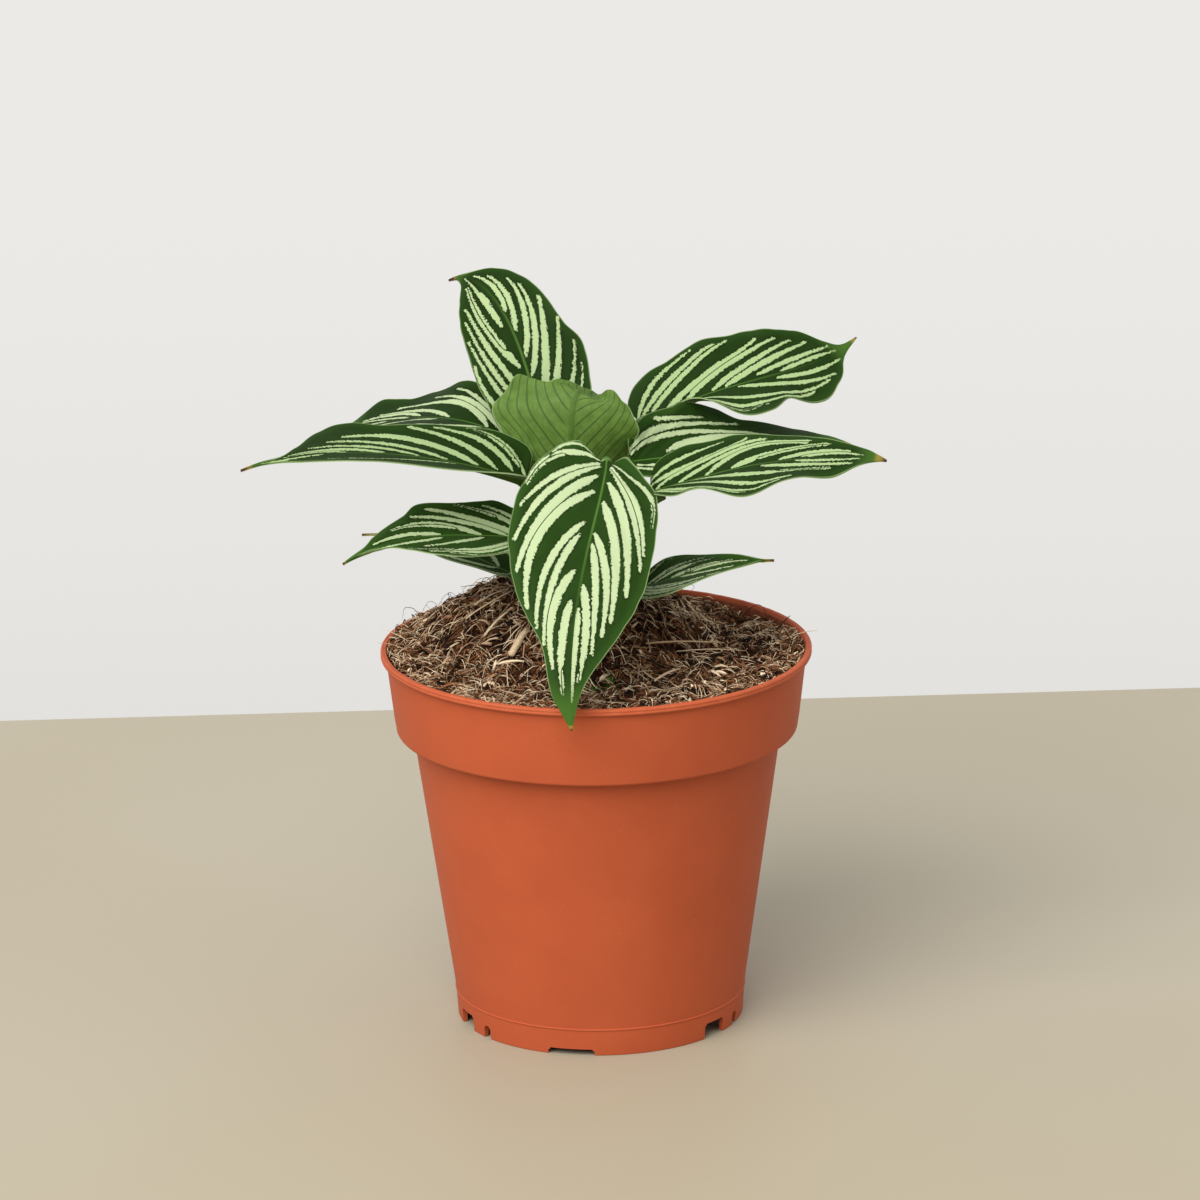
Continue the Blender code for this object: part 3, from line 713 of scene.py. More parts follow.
# Tone exponents for bundles on the left and on the right: painted light and painted shade.
PAINTED_LIGHT_SIDE = 0.8
PAINTED_SHADE_SIDE = 1.5
STICK_STEPS = 5
THICK_STICK = 0.3
Stick = namedtuple("Stick", "start end thickness tone lift")
STICKS = (
    Stick((-20.5, -20), (-16.5, -14), 0.95, 0.8, (1.2, 1.4)),
    Stick((-24, -20), (-17.5, -22), 0.45, 1.0, (1.0, 1.2)),
    Stick((-31.5, -3.5), (-19.5, 3), 0.24, 0.92, (2.2, 2.2)),
    Stick((-29.5, 0), (-21, 3), 0.2, 0.9, (2.6, 2.6)),
    Stick((-12, -19), (-8.5, -15), 0.55, 0.75, (1.2, 1.4)),
    Stick((-27, -12), (-21, -6), 0.36, 0.9, (1.6, 1.8)),
    Stick((-2, -21), (14.5, -13.5), 0.18, 0.6, (1.4, 1.4)),
    Stick((12, -13), (31, -6), 0.32, 0.68, (1.6, 2.4)),
    Stick((20, -9), (36, -8), 0.2, 0.85, (2.0, 2.6)),
    Stick((-9, -34), (-2, -36), 0.32, 1.0, (0.8, 0.8)),
    Stick((14, -30), (20, -22), 0.36, 0.75, (1.2, 1.2)),
    Stick((-22, 12), (-31, 15), 0.16, 0.05, (1.0, 3.2)),
    Stick((-23, 10), (-33, 11), 0.14, 0.05, (1.0, 5.0)),
    Stick((-20, 14), (-27, 18), 0.2, 0.1, (1.0, 4.6)),
    Stick((-45, 2), (-52, 7), 0.12, 0.9, (1.0, 3.6)),
    Stick((-46, -3), (-53, -1), 0.12, 0.7, (1.0, 2.8)),
    Stick((46, 5), (54, 6), 0.14, 0.95, (0.8, 2.4)),
    Stick((44, 14), (48, 20), 0.22, 0.05, (1.0, 3.0)),
)
print(len(STICKS), "sticks have places of their own")

# %% The shape of a fibre
TUBE_SIDES = 3
TILT = Vector((0.13, 0.2, 1))


def tube(line, widths):
    """Points and faces of a thin tube along a line, closed at both ends."""
    points, faces = [], []
    for index, place in enumerate(line):
        before, after = line[max(0, index - 1)], line[min(len(line) - 1, index + 1)]
        ahead = (after - before).normalized()
        across = ahead.cross(TILT).normalized()
        up = across.cross(ahead)
        for side in range(TUBE_SIDES):
            turn = math.tau * side / TUBE_SIDES
            points.append(place + (across * math.cos(turn) + up * math.sin(turn)) * widths[index])
    for index in range(len(line) - 1):
        for side in range(TUBE_SIDES):
            a, b = index * TUBE_SIDES + side, index * TUBE_SIDES + (side + 1) % TUBE_SIDES
            faces.append((a, b, b + TUBE_SIDES, a + TUBE_SIDES))
    faces.append(tuple(range(TUBE_SIDES))[::-1])
    faces.append(tuple(range(len(points) - TUBE_SIDES, len(points))))
    return points, faces


def fibre_line(draw, kind, length, spot, heading):
    """A nearly straight line laid across the heap like a fallen splinter."""
    x, y = spot
    bend = draw.gauss(0, kind.bend)
    step = length / kind.steps
    rise, tilt = draw.random() * kind.lift, draw.gauss(0, 0.5) * kind.lift
    places = []
    for index in range(kind.steps + 1):
        inside = min(1, FIBRE_REACH / max(1e-9, math.hypot(x, y)))
        x, y = x * inside, y * inside
        places.append((x, y))
        heading += bend + draw.gauss(0, kind.bend)
        x += step * math.cos(heading)
        y += step * math.sin(heading)
    low, high = crust_height(*places[0]), crust_height(*places[-1])
    line = []
    for index, (x, y) in enumerate(places):
        share = index / kind.steps
        arch = rise * math.sin(math.pi * share) + max(0, tilt * (share - 0.5)) + max(0, -tilt * (0.5 - share))
        line.append(Vector((x, y, between(low, high, share) + (FIBRE_LIFT + arch) * MM)))
    return line


def add_fibre(store, line, thick, tone, taper=0.7):
    """Adds one fibre's points, faces and tones to a store."""
    base = len(store.points)
    last = len(line) - 1
    more, sides = tube(line, [thick * (1 - taper * (index / last) ** 2) for index in range(last + 1)])
    store.points.extend(more)
    for face in sides:
        store.faces.append(tuple(base + index for index in face))
        store.tones.extend([(tone, 0)] * len(face))


# %% [markdown]
# The left of the heap is painted paler than the right, as painted light from the lamp on the left,
# so a bundle there draws a lighter tone. Moss grows in a few small tufts near the front, as short
# green threads that stand up.

# %% Lay the fibres
TONE_SPREAD = 0.22
WAY_SPREAD = 0.5


def lay_fibres(name, kind, finish, edge=0.0):
    """Fibres in little bundles that start close together and point much the same way."""
    draw = random.Random(kind.seed)
    store = Store([], [], [])
    low, high = kind.tone
    for index in range(kind.count):
        if index % kind.bundle == 0:
            radius = SOIL_EDGE_RADIUS * math.sqrt(draw.uniform(edge, 1.0))
            turn = draw.uniform(0, math.tau)
            centre = radius * math.cos(turn), radius * math.sin(turn)
            way = draw.uniform(0, math.tau)
            # Bundles on the left draw lighter tones as painted light, and those on the right darker ones as
            # painted shade.
            shade = draw.random() ** (PAINTED_LIGHT_SIDE if centre[0] < 0 else PAINTED_SHADE_SIDE)
        spot = [place + draw.gauss(0, 1) * BUNDLE_SPREAD for place in centre]
        length = draw.uniform(*kind.length) * MM
        thick = draw.uniform(*kind.thickness) * MM
        mix = min(1, max(0, shade + draw.gauss(0, TONE_SPREAD)))
        line = fibre_line(draw, kind, length, spot, way + draw.gauss(0, WAY_SPREAD))
        add_fibre(store, line, thick, between(low, high, mix))
    loose_piece(name, store, finish)


def lay_sticks(name, finish):
    """The largest chips and strands, each in its own place."""
    draw = random.Random(27)
    store = Store([], [], [])
    for stick in STICKS:
        ends = []
        for place, lift in zip((stick.start, stick.end), stick.lift):
            x, y = place[0] * MM, place[1] * MM
            ends.append(Vector((x, y, soil_height(x, y) + lift * MM)))
        line = []
        for index in range(STICK_STEPS + 1):
            share = index / STICK_STEPS
            sway = Vector((draw.gauss(0, 0.09), draw.gauss(0, 0.09), 0.5 * math.sin(math.pi * share))) * MM
            line.append(between(*ends, share) + sway)
        taper = 0.25 if stick.thickness > THICK_STICK else 0.6
        add_fibre(store, line, stick.thickness * MM, stick.tone, taper)
    loose_piece(name, store, finish)


MOSS_TUFTS = ((0, -32.5, 2.2), (3, -28.5, 1.2), (-4, -30.5, 0.9))
MOSS_THREADS = 70
MOSS_THICKNESS = 0.13 * MM
MOSS_COLOURS = [painted(code) for code in ("1E3A0C", "3E7A1E", "7DB045")]


def grow_moss(name, finish):
    """Short green threads in a few small tufts near the front of the heap."""
    draw = random.Random(28)
    store = Store([], [], [])
    for x, y, reach in MOSS_TUFTS:
        for _ in range(round(MOSS_THREADS * reach)):
            spot = (x + draw.gauss(0, 0.4 * reach)) * MM, (y + draw.gauss(0, 0.4 * reach)) * MM
            root = Vector((*spot, crust_height(*spot)))
            lean = Vector((draw.gauss(0, 0.5), draw.gauss(0, 0.5), 1)) * draw.uniform(0.6, 1.5) * MM
            add_fibre(store, [root, root + lean * 0.6, root + lean], MOSS_THICKNESS, draw.random())
    loose_piece(name, store, finish)


coir = loose_bits("coir_fibre", PEAT, COIR, STRAW)
lay_fibres("soil_felt", FELT, coir)
lay_fibres("soil_strands", STRANDS, coir)
lay_fibres("soil_hairs", HAIRS, loose_bits("root_hair", PEAT, PEAT_WARM, COIR))
lay_fibres("soil_chips", CHIPS, coir)
lay_fibres("soil_rim_fibres", RIM_FIBRES, coir, RIM_START)
lay_sticks("soil_sticks", coir)
grow_moss("soil_moss", loose_bits("moss", *MOSS_COLOURS))
lay_fibres("soil_grains", GRAINS, loose_bits("white_grain", STRAW, painted("D8D2C4"), painted("E8E4DA")))

# %% [markdown]
# ## The leaves
# A calathea leaf is a stalk, a thicker joint that turns the blade to the light, and a blade on a
# midrib. The midribs, folds and waves follow the same formula as the solid leaves. Each fine blade
# has many more points, so that the waves run smoothly.
#
# The foot is where the stalk enters the mix. The base, near, far and tip points steer the midrib's
# curve. The upper side looks towards face and turns by twist degrees on the way to the tip. Halves
# are the widths on both sides of the midrib, and lobe is how far the blade reaches back beside the
# joint, all in millimetres. Fold and curl lift each half by so many degrees, or lower it below zero.
# Each half waves by ripple millimetres as many times as ripples says. Drip is the share of the
# length that the thin tip takes. Below zero the tip stays blunt.

# %% What each leaf is like
STALK_RADIUS = 1.2 * MM
STALK_DEPTH = 3.0 * MM
STALK_RISE = 4.0 * MM
STALK_BEND = 5.0 * MM
JOINT_RADIUS = 1.35 * MM
JOINT_SHARE = 0.03
RIB_DEPTH = 1.5 * MM
SKIN_LIFT = 0.32 * MM
BLADE_THICKNESS = 0.36 * MM
TIP_HALF_WIDTH = 0.2 * MM
WIDEST = 0.36
BLADE_RINGS = 125
STALK_RINGS = 22
BLADE_COLUMNS = {
    "leaf_front": 112, "leaf_back_left": 92, "leaf_right_high": 92, "leaf_right_low": 88,
    "leaf_right_mid": 80, "leaf_left_mid": 80, "leaf_left_high": 72, "leaf_left_low": 64,
    "leaf_new": 60, "leaf_left_small": 40, "leaf_right_small": 48,
}
ROUND_ARC = math.radians(88)

Leaf = namedtuple("Leaf", "foot base near far tip face twist halves lobe fold curl ripple ripples drip")
LEAVES = {
    "leaf_back_left": Leaf(
        (-5, 7), (-12, 15, 141), (-16, 20, 162), (-23, 32, 181), (-35, 45, 174),
        (0.1, -0.85, 0.5), 0, (14.5, 14.5), 3, (5, 16), (6, 6), (0.8, 1.2), 2.0, 0.1,
    ),
    "leaf_new": Leaf(
        (-1.5, 0.5), (-4, 5, 130.5), (-8, 1, 143.5), (-4, 1, 170.5), (2, 17, 150.5),
        (0, 1, 0.2), -30, (17.5, 20.5), 3, (10, 10), (24, 14), (1.0, 1.6), 2.0, 0.02,
    ),
    "leaf_front": Leaf(
        (0, -7), (3, -8, 141.5), (1, -27, 131), (-7, -52, 124), (-6, -61, 91),
        (0.08, -0.42, 0.9), 0, (15, 20), 7, (10, 24), (-16, -18), (0.4, 0.6), 1.5, 0.02,
    ),
    "leaf_right_high": Leaf(
        (2, 9), (13, 23, 142), (27, 24, 153), (52, 24, 153.5), (63, 40, 157.5),
        (-0.3, -0.05, 1), 45, (17, 15.5), 2, (40, 40), (6, 4), (0.6, 1.6), 3.5, -0.06,
    ),
    "leaf_right_mid": Leaf(
        (4, 2), (8.5, 3.5, 138.5), (20, 6.5, 138.5), (44, 12, 141), (64, 17, 137.3),
        (-0.1, -0.27, 1), -15, (15.5, 10), 1, (64, -5), (6, 4), (0.6, 0.6), 2.0, 0.02,
    ),
    "leaf_right_low": Leaf(
        (3.5, -4), (16.5, -8, 133.5), (29, -12, 141), (50, -18, 146.5), (70, -20, 144.5),
        (-0.2, -0.07, 1), 14, (14, 15), 1, (21, 23), (4, 2), (0.4, 1.3), 3.0, 0.03,
    ),
    "leaf_left_high": Leaf(
        (-8, 12), (-20, 20, 139.5), (-33, 22, 148), (-47, 29, 143.5), (-63, 33, 139),
        (0.2, -0.1, 1), 0, (14, 17), 2, (16, 34), (4, 6), (0.6, 1.0), 2.5, 0.02,
    ),
    "leaf_left_mid": Leaf(
        (-5.5, -3.5), (-16, -2, 135), (-30, -8, 142.5), (-62, -22, 153), (-84, -27, 146),
        (0.2, -0.04, 1), -3, (13, 15), 3, (20, 32), (8, 4), (0.5, 0.7), 2.0, 0.1,
    ),
    "leaf_left_low": Leaf(
        (-6, -9), (-14, -8, 123), (-28, -15, 125), (-46, -26, 132), (-60, -32, 124),
        (0.1, -0.25, 1), 0, (14, 13), 2, (20, 20), (4, 4), (0.8, 0.6), 2.0, 0.1,
    ),
    "leaf_left_small": Leaf(
        (-10, -4), (-20, 3, 110.5), (-30, 8, 114), (-42, 14, 119), (-57, 21, 116),
        (0.2, -0.3, 1), 0, (6, 8), 1, (10, 10), (4, 4), (0.4, 0.4), 1.5, 0.08,
    ),
    "leaf_right_small": Leaf(
        (1.3, -12.8), (11, -11, 111), (17, -15, 113), (29, -18, 120), (43, -18, 119.5),
        (-0.2, -0.25, 1), 0, (10, 10), 1.5, (10, 10), (4, 4), (0.5, 0.4), 1.5, 0.05,
    ),
}
print(len(LEAVES), "leaves")

# %% [markdown]
# ### What makes each blade its own
# The formula gives a smooth pointed oval. Real blades are fuller on one side, and they swell, pinch
# and curl here and there. So the half widths of eight blades are written out in millimetres at
# eleven places from base to tip. A pull then moves the blade near one place, like a finger would: at
# a share of its length and a place across it, with a reach in both, by so many millimetres. The
# margins leave the solid blades by a few millimetres in places, to follow the photograph.

# %% Half widths and pulls
WIDTH_PLACES = (0.05, 0.1, 0.2, 0.3, 0.4, 0.5, 0.6, 0.7, 0.8, 0.9, 0.96)
HALF_WIDTHS = {
    "leaf_front": (
        (5.5, 8.8, 13.7, 15, 15.5, 15.4, 14.3, 11.8, 7.8, 2.8, 1),
        (9.7, 13.7, 18.3, 19.7, 19.5, 18, 15.7, 11.6, 6.9, 5, 2.2),
    ),
    "leaf_back_left": (
        (7, 10, 11.9, 12.9, 12.6, 12.1, 10.7, 8.2, 5.2, 1.5, 0.3),
        (7.5, 11, 14.6, 15.2, 12.3, 11.1, 10.3, 9, 6.2, 1.2, 0.3),
    ),
    "leaf_right_high": (
        (9, 11.8, 14.3, 15.6, 16.1, 16.1, 14.6, 13.1, 11.2, 4.2, 1.2),
        (7.7, 10.7, 14, 15.3, 15.8, 18, 12.2, 12.3, 9.4, 3.4, 1.2),
    ),
    "leaf_right_mid": (
        (6, 8, 11.4, 14.2, 17, 16, 12, 12.3, 12, 8, 4),
        (6.5, 8, 9.4, 9.9, 9.9, 9, 7.5, 5.6, 3.5, 1.3, 0.3),
    ),
    "leaf_right_low": (
        (10.5, 12.7, 14.6, 14.6, 13.2, 12.1, 11, 8.6, 6.6, 4.4, 2),
        (7.5, 10.4, 13.6, 14.8, 15, 14.2, 13, 9.6, 6.7, 3, 1.2),
    ),
    "leaf_left_mid": (
        (6.5, 9, 11, 11, 10.5, 10, 9.2, 7, 3.6, 0.8, 0.3),
        (9.3, 11, 13.4, 13.9, 13.2, 12.5, 15, 12.3, 4.8, 0.4, 0.3),
    ),
    "leaf_left_high": (
        (7, 9.7, 12.7, 13.8, 13.8, 12.6, 10.5, 7.8, 4.8, 1.8, 0.3),
        (8.4, 11.8, 14, 14.8, 16.6, 18.5, 18, 13, 13, 8.5, 3),
    ),
    "leaf_left_low": (
        (7, 9.7, 12.2, 12, 12, 12.8, 11.5, 6, 1, 0.3, 0.2),
        (6.5, 9.8, 13.2, 12.6, 12, 12.3, 9.4, 7.1, 4, 0.8, 0.3),
    ),
}
Pull = namedtuple("Pull", "share across reach spread way")
PULLS = {
    "leaf_front": (Pull(0.08, -1, 0.09, 0.5, (0.2, -0.8, -1.8)),),
    "leaf_right_low": (Pull(0.4, 1, 0.24, 0.5, (0, 0, -1.3)), Pull(0.04, -0.4, 0.13, 1.1, (-4, 0, -0.3))),
    "leaf_left_mid": (Pull(0.12, 1, 0.2, 0.5, (0.4, 0, 2.1)),),
    "leaf_left_high": (Pull(0.86, 1, 0.07, 0.6, (0, 0, 1.8)), Pull(0.22, -1, 0.2, 0.6, (0, 0, -2.4))),
    "leaf_right_high": (
        Pull(0.2, 1, 0.18, 0.5, (0, 5.5, -1.2)),
        Pull(0.42, 1, 0.08, 0.45, (0, 0, -0.8)),
        Pull(0.03, 0, 0.1, 1.2, (-2, 0, -1.6)),
        Pull(1, 0, 0.025, 9, (1.9, 0, 1.9)),
    ),
    "leaf_right_mid": (
        Pull(0.93, -1, 0.1, 0.6, (0, 0, 0.8)),
        Pull(0.36, -1, 0.14, 0.5, (0, -5.5, 1.8)),
        Pull(0.1, -1, 0.1, 0.5, (0, -1, 1.5)),
    ),
    "leaf_new": (
        Pull(0.57, 1, 0.06, 0.35, (-0.2, 0, 2.2)),
        Pull(0.71, 1, 0.07, 0.45, (0, 0, -3)),
        Pull(0.81, 0.05, 0.12, 0.4, (0, 0, -3.8)),
        Pull(0.86, 1, 0.05, 0.4, (0, 0, -1.8)),
        Pull(0.88, -1, 0.06, 0.4, (1, 0, -1.4)),
        Pull(0.76, -0.45, 0.15, 0.35, (0, 0, -2.8)),
        Pull(0.71, -1, 0.07, 0.35, (0.4, 0, 2.7)),
        Pull(0.6, -1, 0.06, 0.4, (0, 0, 1.5)),
        Pull(0.47, -1, 0.1, 0.5, (-0.5, 0, 0)),
        Pull(0.24, -1, 0.1, 0.5, (-1.6, 0, 0)),
        Pull(0.28, 1, 0.07, 0.5, (2.6, 0, 0)),
        Pull(0.42, 1, 0.06, 0.4, (-1.2, 0, 0)),
    ),
}
print(len(HALF_WIDTHS), "blades with their own widths")

# %% [markdown]
# ### The stripes' lines
# A stripe starts beside the midrib and sweeps forward to end near the margin. It is written here as
# its greatest width in millimetres, where its dark split begins, and two or three places it passes.
# A place is a share of the leaf's length and a share of the way out to the margin. A split of 0
# means none. Each half blade has its own list, and its number says which side of the midrib it is.
# The stripes that face the camera are written out one by one. Two hidden halves, the narrow small
# leaf on the left and the new leaf, which shows its under side, follow a rule.

# %% Stripe lines
Stripe = namedtuple("Stripe", "width split places")


def even_stripes(seed, count, width):
    """Stripes for a half blade by rule, each a little different."""
    draw = random.Random(seed)
    made = []
    for index in range(count):
        start = 0.74 * (index / (count - 1)) ** 1.3
        end = 1 - 0.72 * math.exp(-3.4 * start)
        wide = width * draw.uniform(0.75, 1.1)
        split = draw.choice((0, 0, 0.3, 0.75))
        first = (start + draw.uniform(-0.01, 0.01), 0.1)
        last = (min(0.96, end + draw.uniform(-0.02, 0.02)), draw.uniform(0.86, 0.97) - 0.5 * start ** 3)
        made.append((wide, split, first, last))
    return made


STRIPE_LINES = {
    ("leaf_front", 0): (
        (1.2, 0.6, (0.02, 0.42), (0.13, 0.8), (0.29, 0.92)),
        (1.4, 0, (0.03, 0.24), (0.2, 0.62), (0.41, 0.9)),
        (1.4, 0, (0.04, 0.2), (0.24, 0.58), (0.48, 0.97)),
        (2.0, 0, (0.11, 0.14), (0.31, 0.5), (0.59, 0.98)),
        (2.0, 0, (0.21, 0.08), (0.43, 0.46), (0.69, 0.98)),
        (1.6, 0, (0.36, 0.06), (0.52, 0.42), (0.74, 0.94)),
        (1.5, 0, (0.41, 0.06), (0.57, 0.3), (0.8, 0.9)),
        (1.7, 0.85, (0.58, 0.06), (0.69, 0.3), (0.88, 0.64)),
        (1.2, 0, (0.66, 0.05), (0.84, 0.12), (0.93, 0.1)),
    ),
    ("leaf_front", 1): (
        (0.9, 0, (0.0, 0.88), (0.04, 0.92), (0.12, 0.94)),
        (1.9, 0.3, (0.01, 0.5), (0.06, 0.76), (0.22, 0.97)),
        (1.5, 0, (0.03, 0.26), (0.15, 0.66), (0.3, 0.92)),
        (1.7, 0, (0.04, 0.2), (0.14, 0.5), (0.44, 0.92)),
        (2.2, 0, (0.09, 0.16), (0.29, 0.56), (0.55, 0.95)),
        (2.1, 0, (0.17, 0.12), (0.4, 0.6), (0.67, 0.97)),
        (1.5, 0, (0.32, 0.12), (0.51, 0.47), (0.73, 0.92)),
        (1.5, 0, (0.38, 0.14), (0.51, 0.32), (0.78, 0.9)),
        (1.8, 0, (0.53, 0.12), (0.63, 0.36), (0.84, 0.88)),
        (1.7, 0.7, (0.64, 0.12), (0.78, 0.34), (0.91, 0.9)),
    ),
    ("leaf_back_left", 0): (
        (1.2, 0, (0.0, 0.6), (0.22, 0.84), (0.35, 0.84)),
        (1.1, 0, (0.02, 0.3), (0.23, 0.62), (0.47, 0.86)),
        (1.1, 0, (0.08, 0.15), (0.24, 0.48), (0.57, 0.92)),
        (1.3, 0, (0.16, 0.1), (0.25, 0.3), (0.65, 0.96)),
        (1.9, 0.1, (0.3, 0.12), (0.54, 0.5), (0.8, 0.95)),
        (1.4, 0.5, (0.49, 0.16), (0.87, 0.34)),
        (0.8, 0, (0.62, 0.18), (0.88, 0.14)),
    ),
    ("leaf_back_left", 1): (
        (0.8, 0, (0.0, 0.8), (0.17, 0.95), (0.25, 0.97)),
        (1.1, 0, (0.0, 0.55), (0.18, 0.74), (0.33, 0.92)),
        (1.5, 0, (0.04, 0.2), (0.21, 0.48), (0.43, 0.82)),
        (1.7, 0, (0.09, 0.12), (0.21, 0.27), (0.54, 0.82)),
        (1.3, 0, (0.25, 0.07), (0.64, 0.86)),
        (1.2, 0, (0.33, 0.06), (0.7, 0.95)),
        (1.2, 0, (0.45, 0.06), (0.78, 0.92)),
        (1.1, 0, (0.55, 0.06), (0.84, 0.9)),
    ),
    ("leaf_right_high", 0): (
        (1.1, 0, (0.0, 0.5), (0.2, 0.8), (0.3, 0.86)),
        (1.3, 0, (0.02, 0.25), (0.28, 0.69), (0.4, 0.84)),
        (1.3, 0, (0.05, 0.12), (0.28, 0.58), (0.46, 0.9)),
        (1.6, 0, (0.12, 0.05), (0.24, 0.24), (0.59, 0.9)),
        (1.5, 0, (0.215, 0.05), (0.68, 0.95)),
        (1.3, 0, (0.33, 0.05), (0.75, 0.95)),
        (1.5, 0, (0.39, 0.05), (0.82, 0.93)),
        (1.2, 0, (0.53, 0.1), (0.9, 0.6)),
        (1.0, 0, (0.63, 0.05), (0.92, 0.16)),
    ),
    ("leaf_right_high", 1): (
        (1.3, 0, (0.0, 0.55), (0.12, 0.8), (0.26, 0.93)),
        (1.4, 0.6, (0.02, 0.3), (0.32, 0.9), (0.5, 0.96)),
        (1.6, 0, (0.08, 0.1), (0.31, 0.7), (0.7, 0.95)),
        (1.4, 0, (0.2, 0.08), (0.37, 0.44), (0.78, 0.94)),
        (1.5, 0, (0.44, 0.08), (0.82, 0.92)),
        (1.3, 0, (0.6, 0.12), (0.9, 0.5)),
    ),
    ("leaf_right_mid", 0): (
        (1.0, 0, (0.19, 0.7), (0.32, 0.72), (0.44, 0.83)),
        (1.4, 0, (0.02, 0.56), (0.25, 0.55), (0.57, 0.85)),
        (1.2, 0, (0.02, 0.4), (0.3, 0.43), (0.8, 0.98)),
        (1.6, 0.6, (0.23, 0.12), (0.52, 0.43), (0.86, 0.77)),
        (1.4, 0, (0.31, 0.12), (0.64, 0.49)),
        (1.2, 0, (0.5, 0.12), (0.92, 0.4)),
    ),
    ("leaf_right_mid", 1): (
        (1.3, 0, (0.05, 0.4), (0.2, 0.4), (0.5, 0.7)),
        (1.4, 0, (0.04, 0.7), (0.18, 0.68), (0.4, 0.9)),
        (1.2, 0, (0.3, 0.1), (0.75, 0.7)),
    ),
    ("leaf_right_low", 0): (
        (1.1, 0, (0.01, 0.7), (0.15, 0.86), (0.3, 0.92)),
        (1.4, 0, (0.02, 0.46), (0.2, 0.56), (0.41, 0.84)),
        (1.7, 0, (0.06, 0.1), (0.2, 0.5), (0.49, 0.82)),
        (1.5, 0, (0.15, 0.06), (0.37, 0.56), (0.68, 0.93)),
        (1.4, 0, (0.25, 0.04), (0.39, 0.5), (0.67, 0.8)),
        (2.0, 0.2, (0.37, 0.07), (0.76, 0.95)),
        (1.4, 0, (0.57, 0.08), (0.85, 0.94)),
        (1.1, 0, (0.66, 0.14), (0.9, 0.85)),
    ),
    ("leaf_right_low", 1): (
        (1.0, 0, (0.0, 0.5), (0.24, 0.88), (0.48, 0.92)),
        (1.2, 0, (0.03, 0.2), (0.3, 0.8), (0.6, 0.95)),
        (1.5, 0, (0.12, 0.08), (0.32, 0.52), (0.64, 0.9)),
        (1.6, 0.6, (0.2, 0.08), (0.5, 0.4), (0.78, 0.8)),
        (1.4, 0, (0.5, 0.1), (0.86, 0.8)),
        (0.9, 0, (0.64, 0.05), (0.89, 0.1)),
    ),
    ("leaf_left_mid", 0): even_stripes(7, 3, 0.6),
    ("leaf_left_mid", 1): (
        (1.7, 0.1, (0.01, 0.3), (0.1, 0.68), (0.24, 0.95)),
        (1.5, 0, (0.08, 0.24), (0.34, 0.84)),
        (1.6, 0, (0.15, 0.1), (0.43, 0.84)),
        (1.8, 0, (0.23, 0.08), (0.42, 0.5), (0.64, 0.95)),
        (1.2, 0, (0.34, 0.06), (0.52, 0.4), (0.7, 0.9)),
        (1.0, 0, (0.43, 0.05), (0.76, 0.74)),
        (1.1, 0, (0.54, 0.06), (0.84, 0.34)),
        (0.7, 0, (0.66, 0.04), (0.85, 0.1)),
    ),
    ("leaf_left_high", 0): even_stripes(9, 4, 1.0),
    ("leaf_left_high", 1): (
        (1.1, 0, (0.0, 0.5), (0.2, 0.86), (0.32, 0.95)),
        (1.2, 0, (0.05, 0.15), (0.22, 0.48), (0.44, 0.88)),
        (1.5, 0, (0.08, 0.1), (0.19, 0.32), (0.55, 0.92)),
        (1.8, 0, (0.16, 0.05), (0.42, 0.5), (0.72, 0.93)),
        (1.5, 0, (0.39, 0.06), (0.6, 0.4), (0.8, 0.9)),
        (1.5, 0, (0.56, 0.1), (0.72, 0.5), (0.87, 0.84)),
        (1.0, 0, (0.62, 0.04), (0.88, 0.6)),
    ),
    ("leaf_left_low", 0): (
        (1.0, 0, (0.0, 0.6), (0.28, 0.86), (0.55, 0.95)),
        (1.3, 0, (0.04, 0.2), (0.25, 0.66), (0.63, 0.95)),
        (1.3, 0.6, (0.1, 0.1), (0.26, 0.52), (0.7, 0.8)),
        (1.1, 0, (0.3, 0.1), (0.63, 0.58)),
        (0.9, 0, (0.5, 0.1), (0.8, 0.4)),
    ),
    ("leaf_left_low", 1): (
        (1.1, 0, (0.0, 0.5), (0.12, 0.76), (0.22, 0.95)),
        (1.6, 0.4, (0.04, 0.2), (0.13, 0.56), (0.35, 0.9)),
        (1.8, 0, (0.1, 0.05), (0.2, 0.32), (0.49, 0.9)),
        (1.5, 0, (0.16, 0.04), (0.35, 0.4), (0.58, 0.9)),
        (2.0, 0.2, (0.3, 0.04), (0.5, 0.42), (0.7, 0.82)),
        (1.3, 0, (0.5, 0.05), (0.82, 0.6)),
    ),
    ("leaf_right_small", 0): (
        (0.9, 0.2, (0.02, 0.4), (0.12, 0.8), (0.28, 0.94)),
        (1.0, 0.3, (0.09, 0.1), (0.3, 0.5), (0.55, 0.8)),
        (1.0, 0.6, (0.16, 0.06), (0.38, 0.4), (0.62, 0.68)),
        (1.2, 0.2, (0.32, 0.05), (0.74, 0.4)),
        (0.9, 0, (0.48, 0.04), (0.84, 0.12)),
    ),
    ("leaf_right_small", 1): (
        (0.7, 0, (0.0, 0.8), (0.17, 0.94), (0.36, 0.97)),
        (1.1, 0, (0.02, 0.4), (0.13, 0.64), (0.5, 0.95)),
        (1.2, 0, (0.06, 0.14), (0.14, 0.42), (0.56, 0.92)),
        (1.6, 0.1, (0.09, 0.12), (0.3, 0.42), (0.68, 0.92)),
        (0.8, 0, (0.4, 0.06), (0.76, 0.5)),
    ),
    ("leaf_left_small", 0): even_stripes(13, 5, 1.0),
    ("leaf_left_small", 1): even_stripes(14, 5, 1.0),
    ("leaf_new", 0): even_stripes(15, 8, 1.5),
    ("leaf_new", 1): even_stripes(16, 8, 1.5),
}
STRIPES = {}
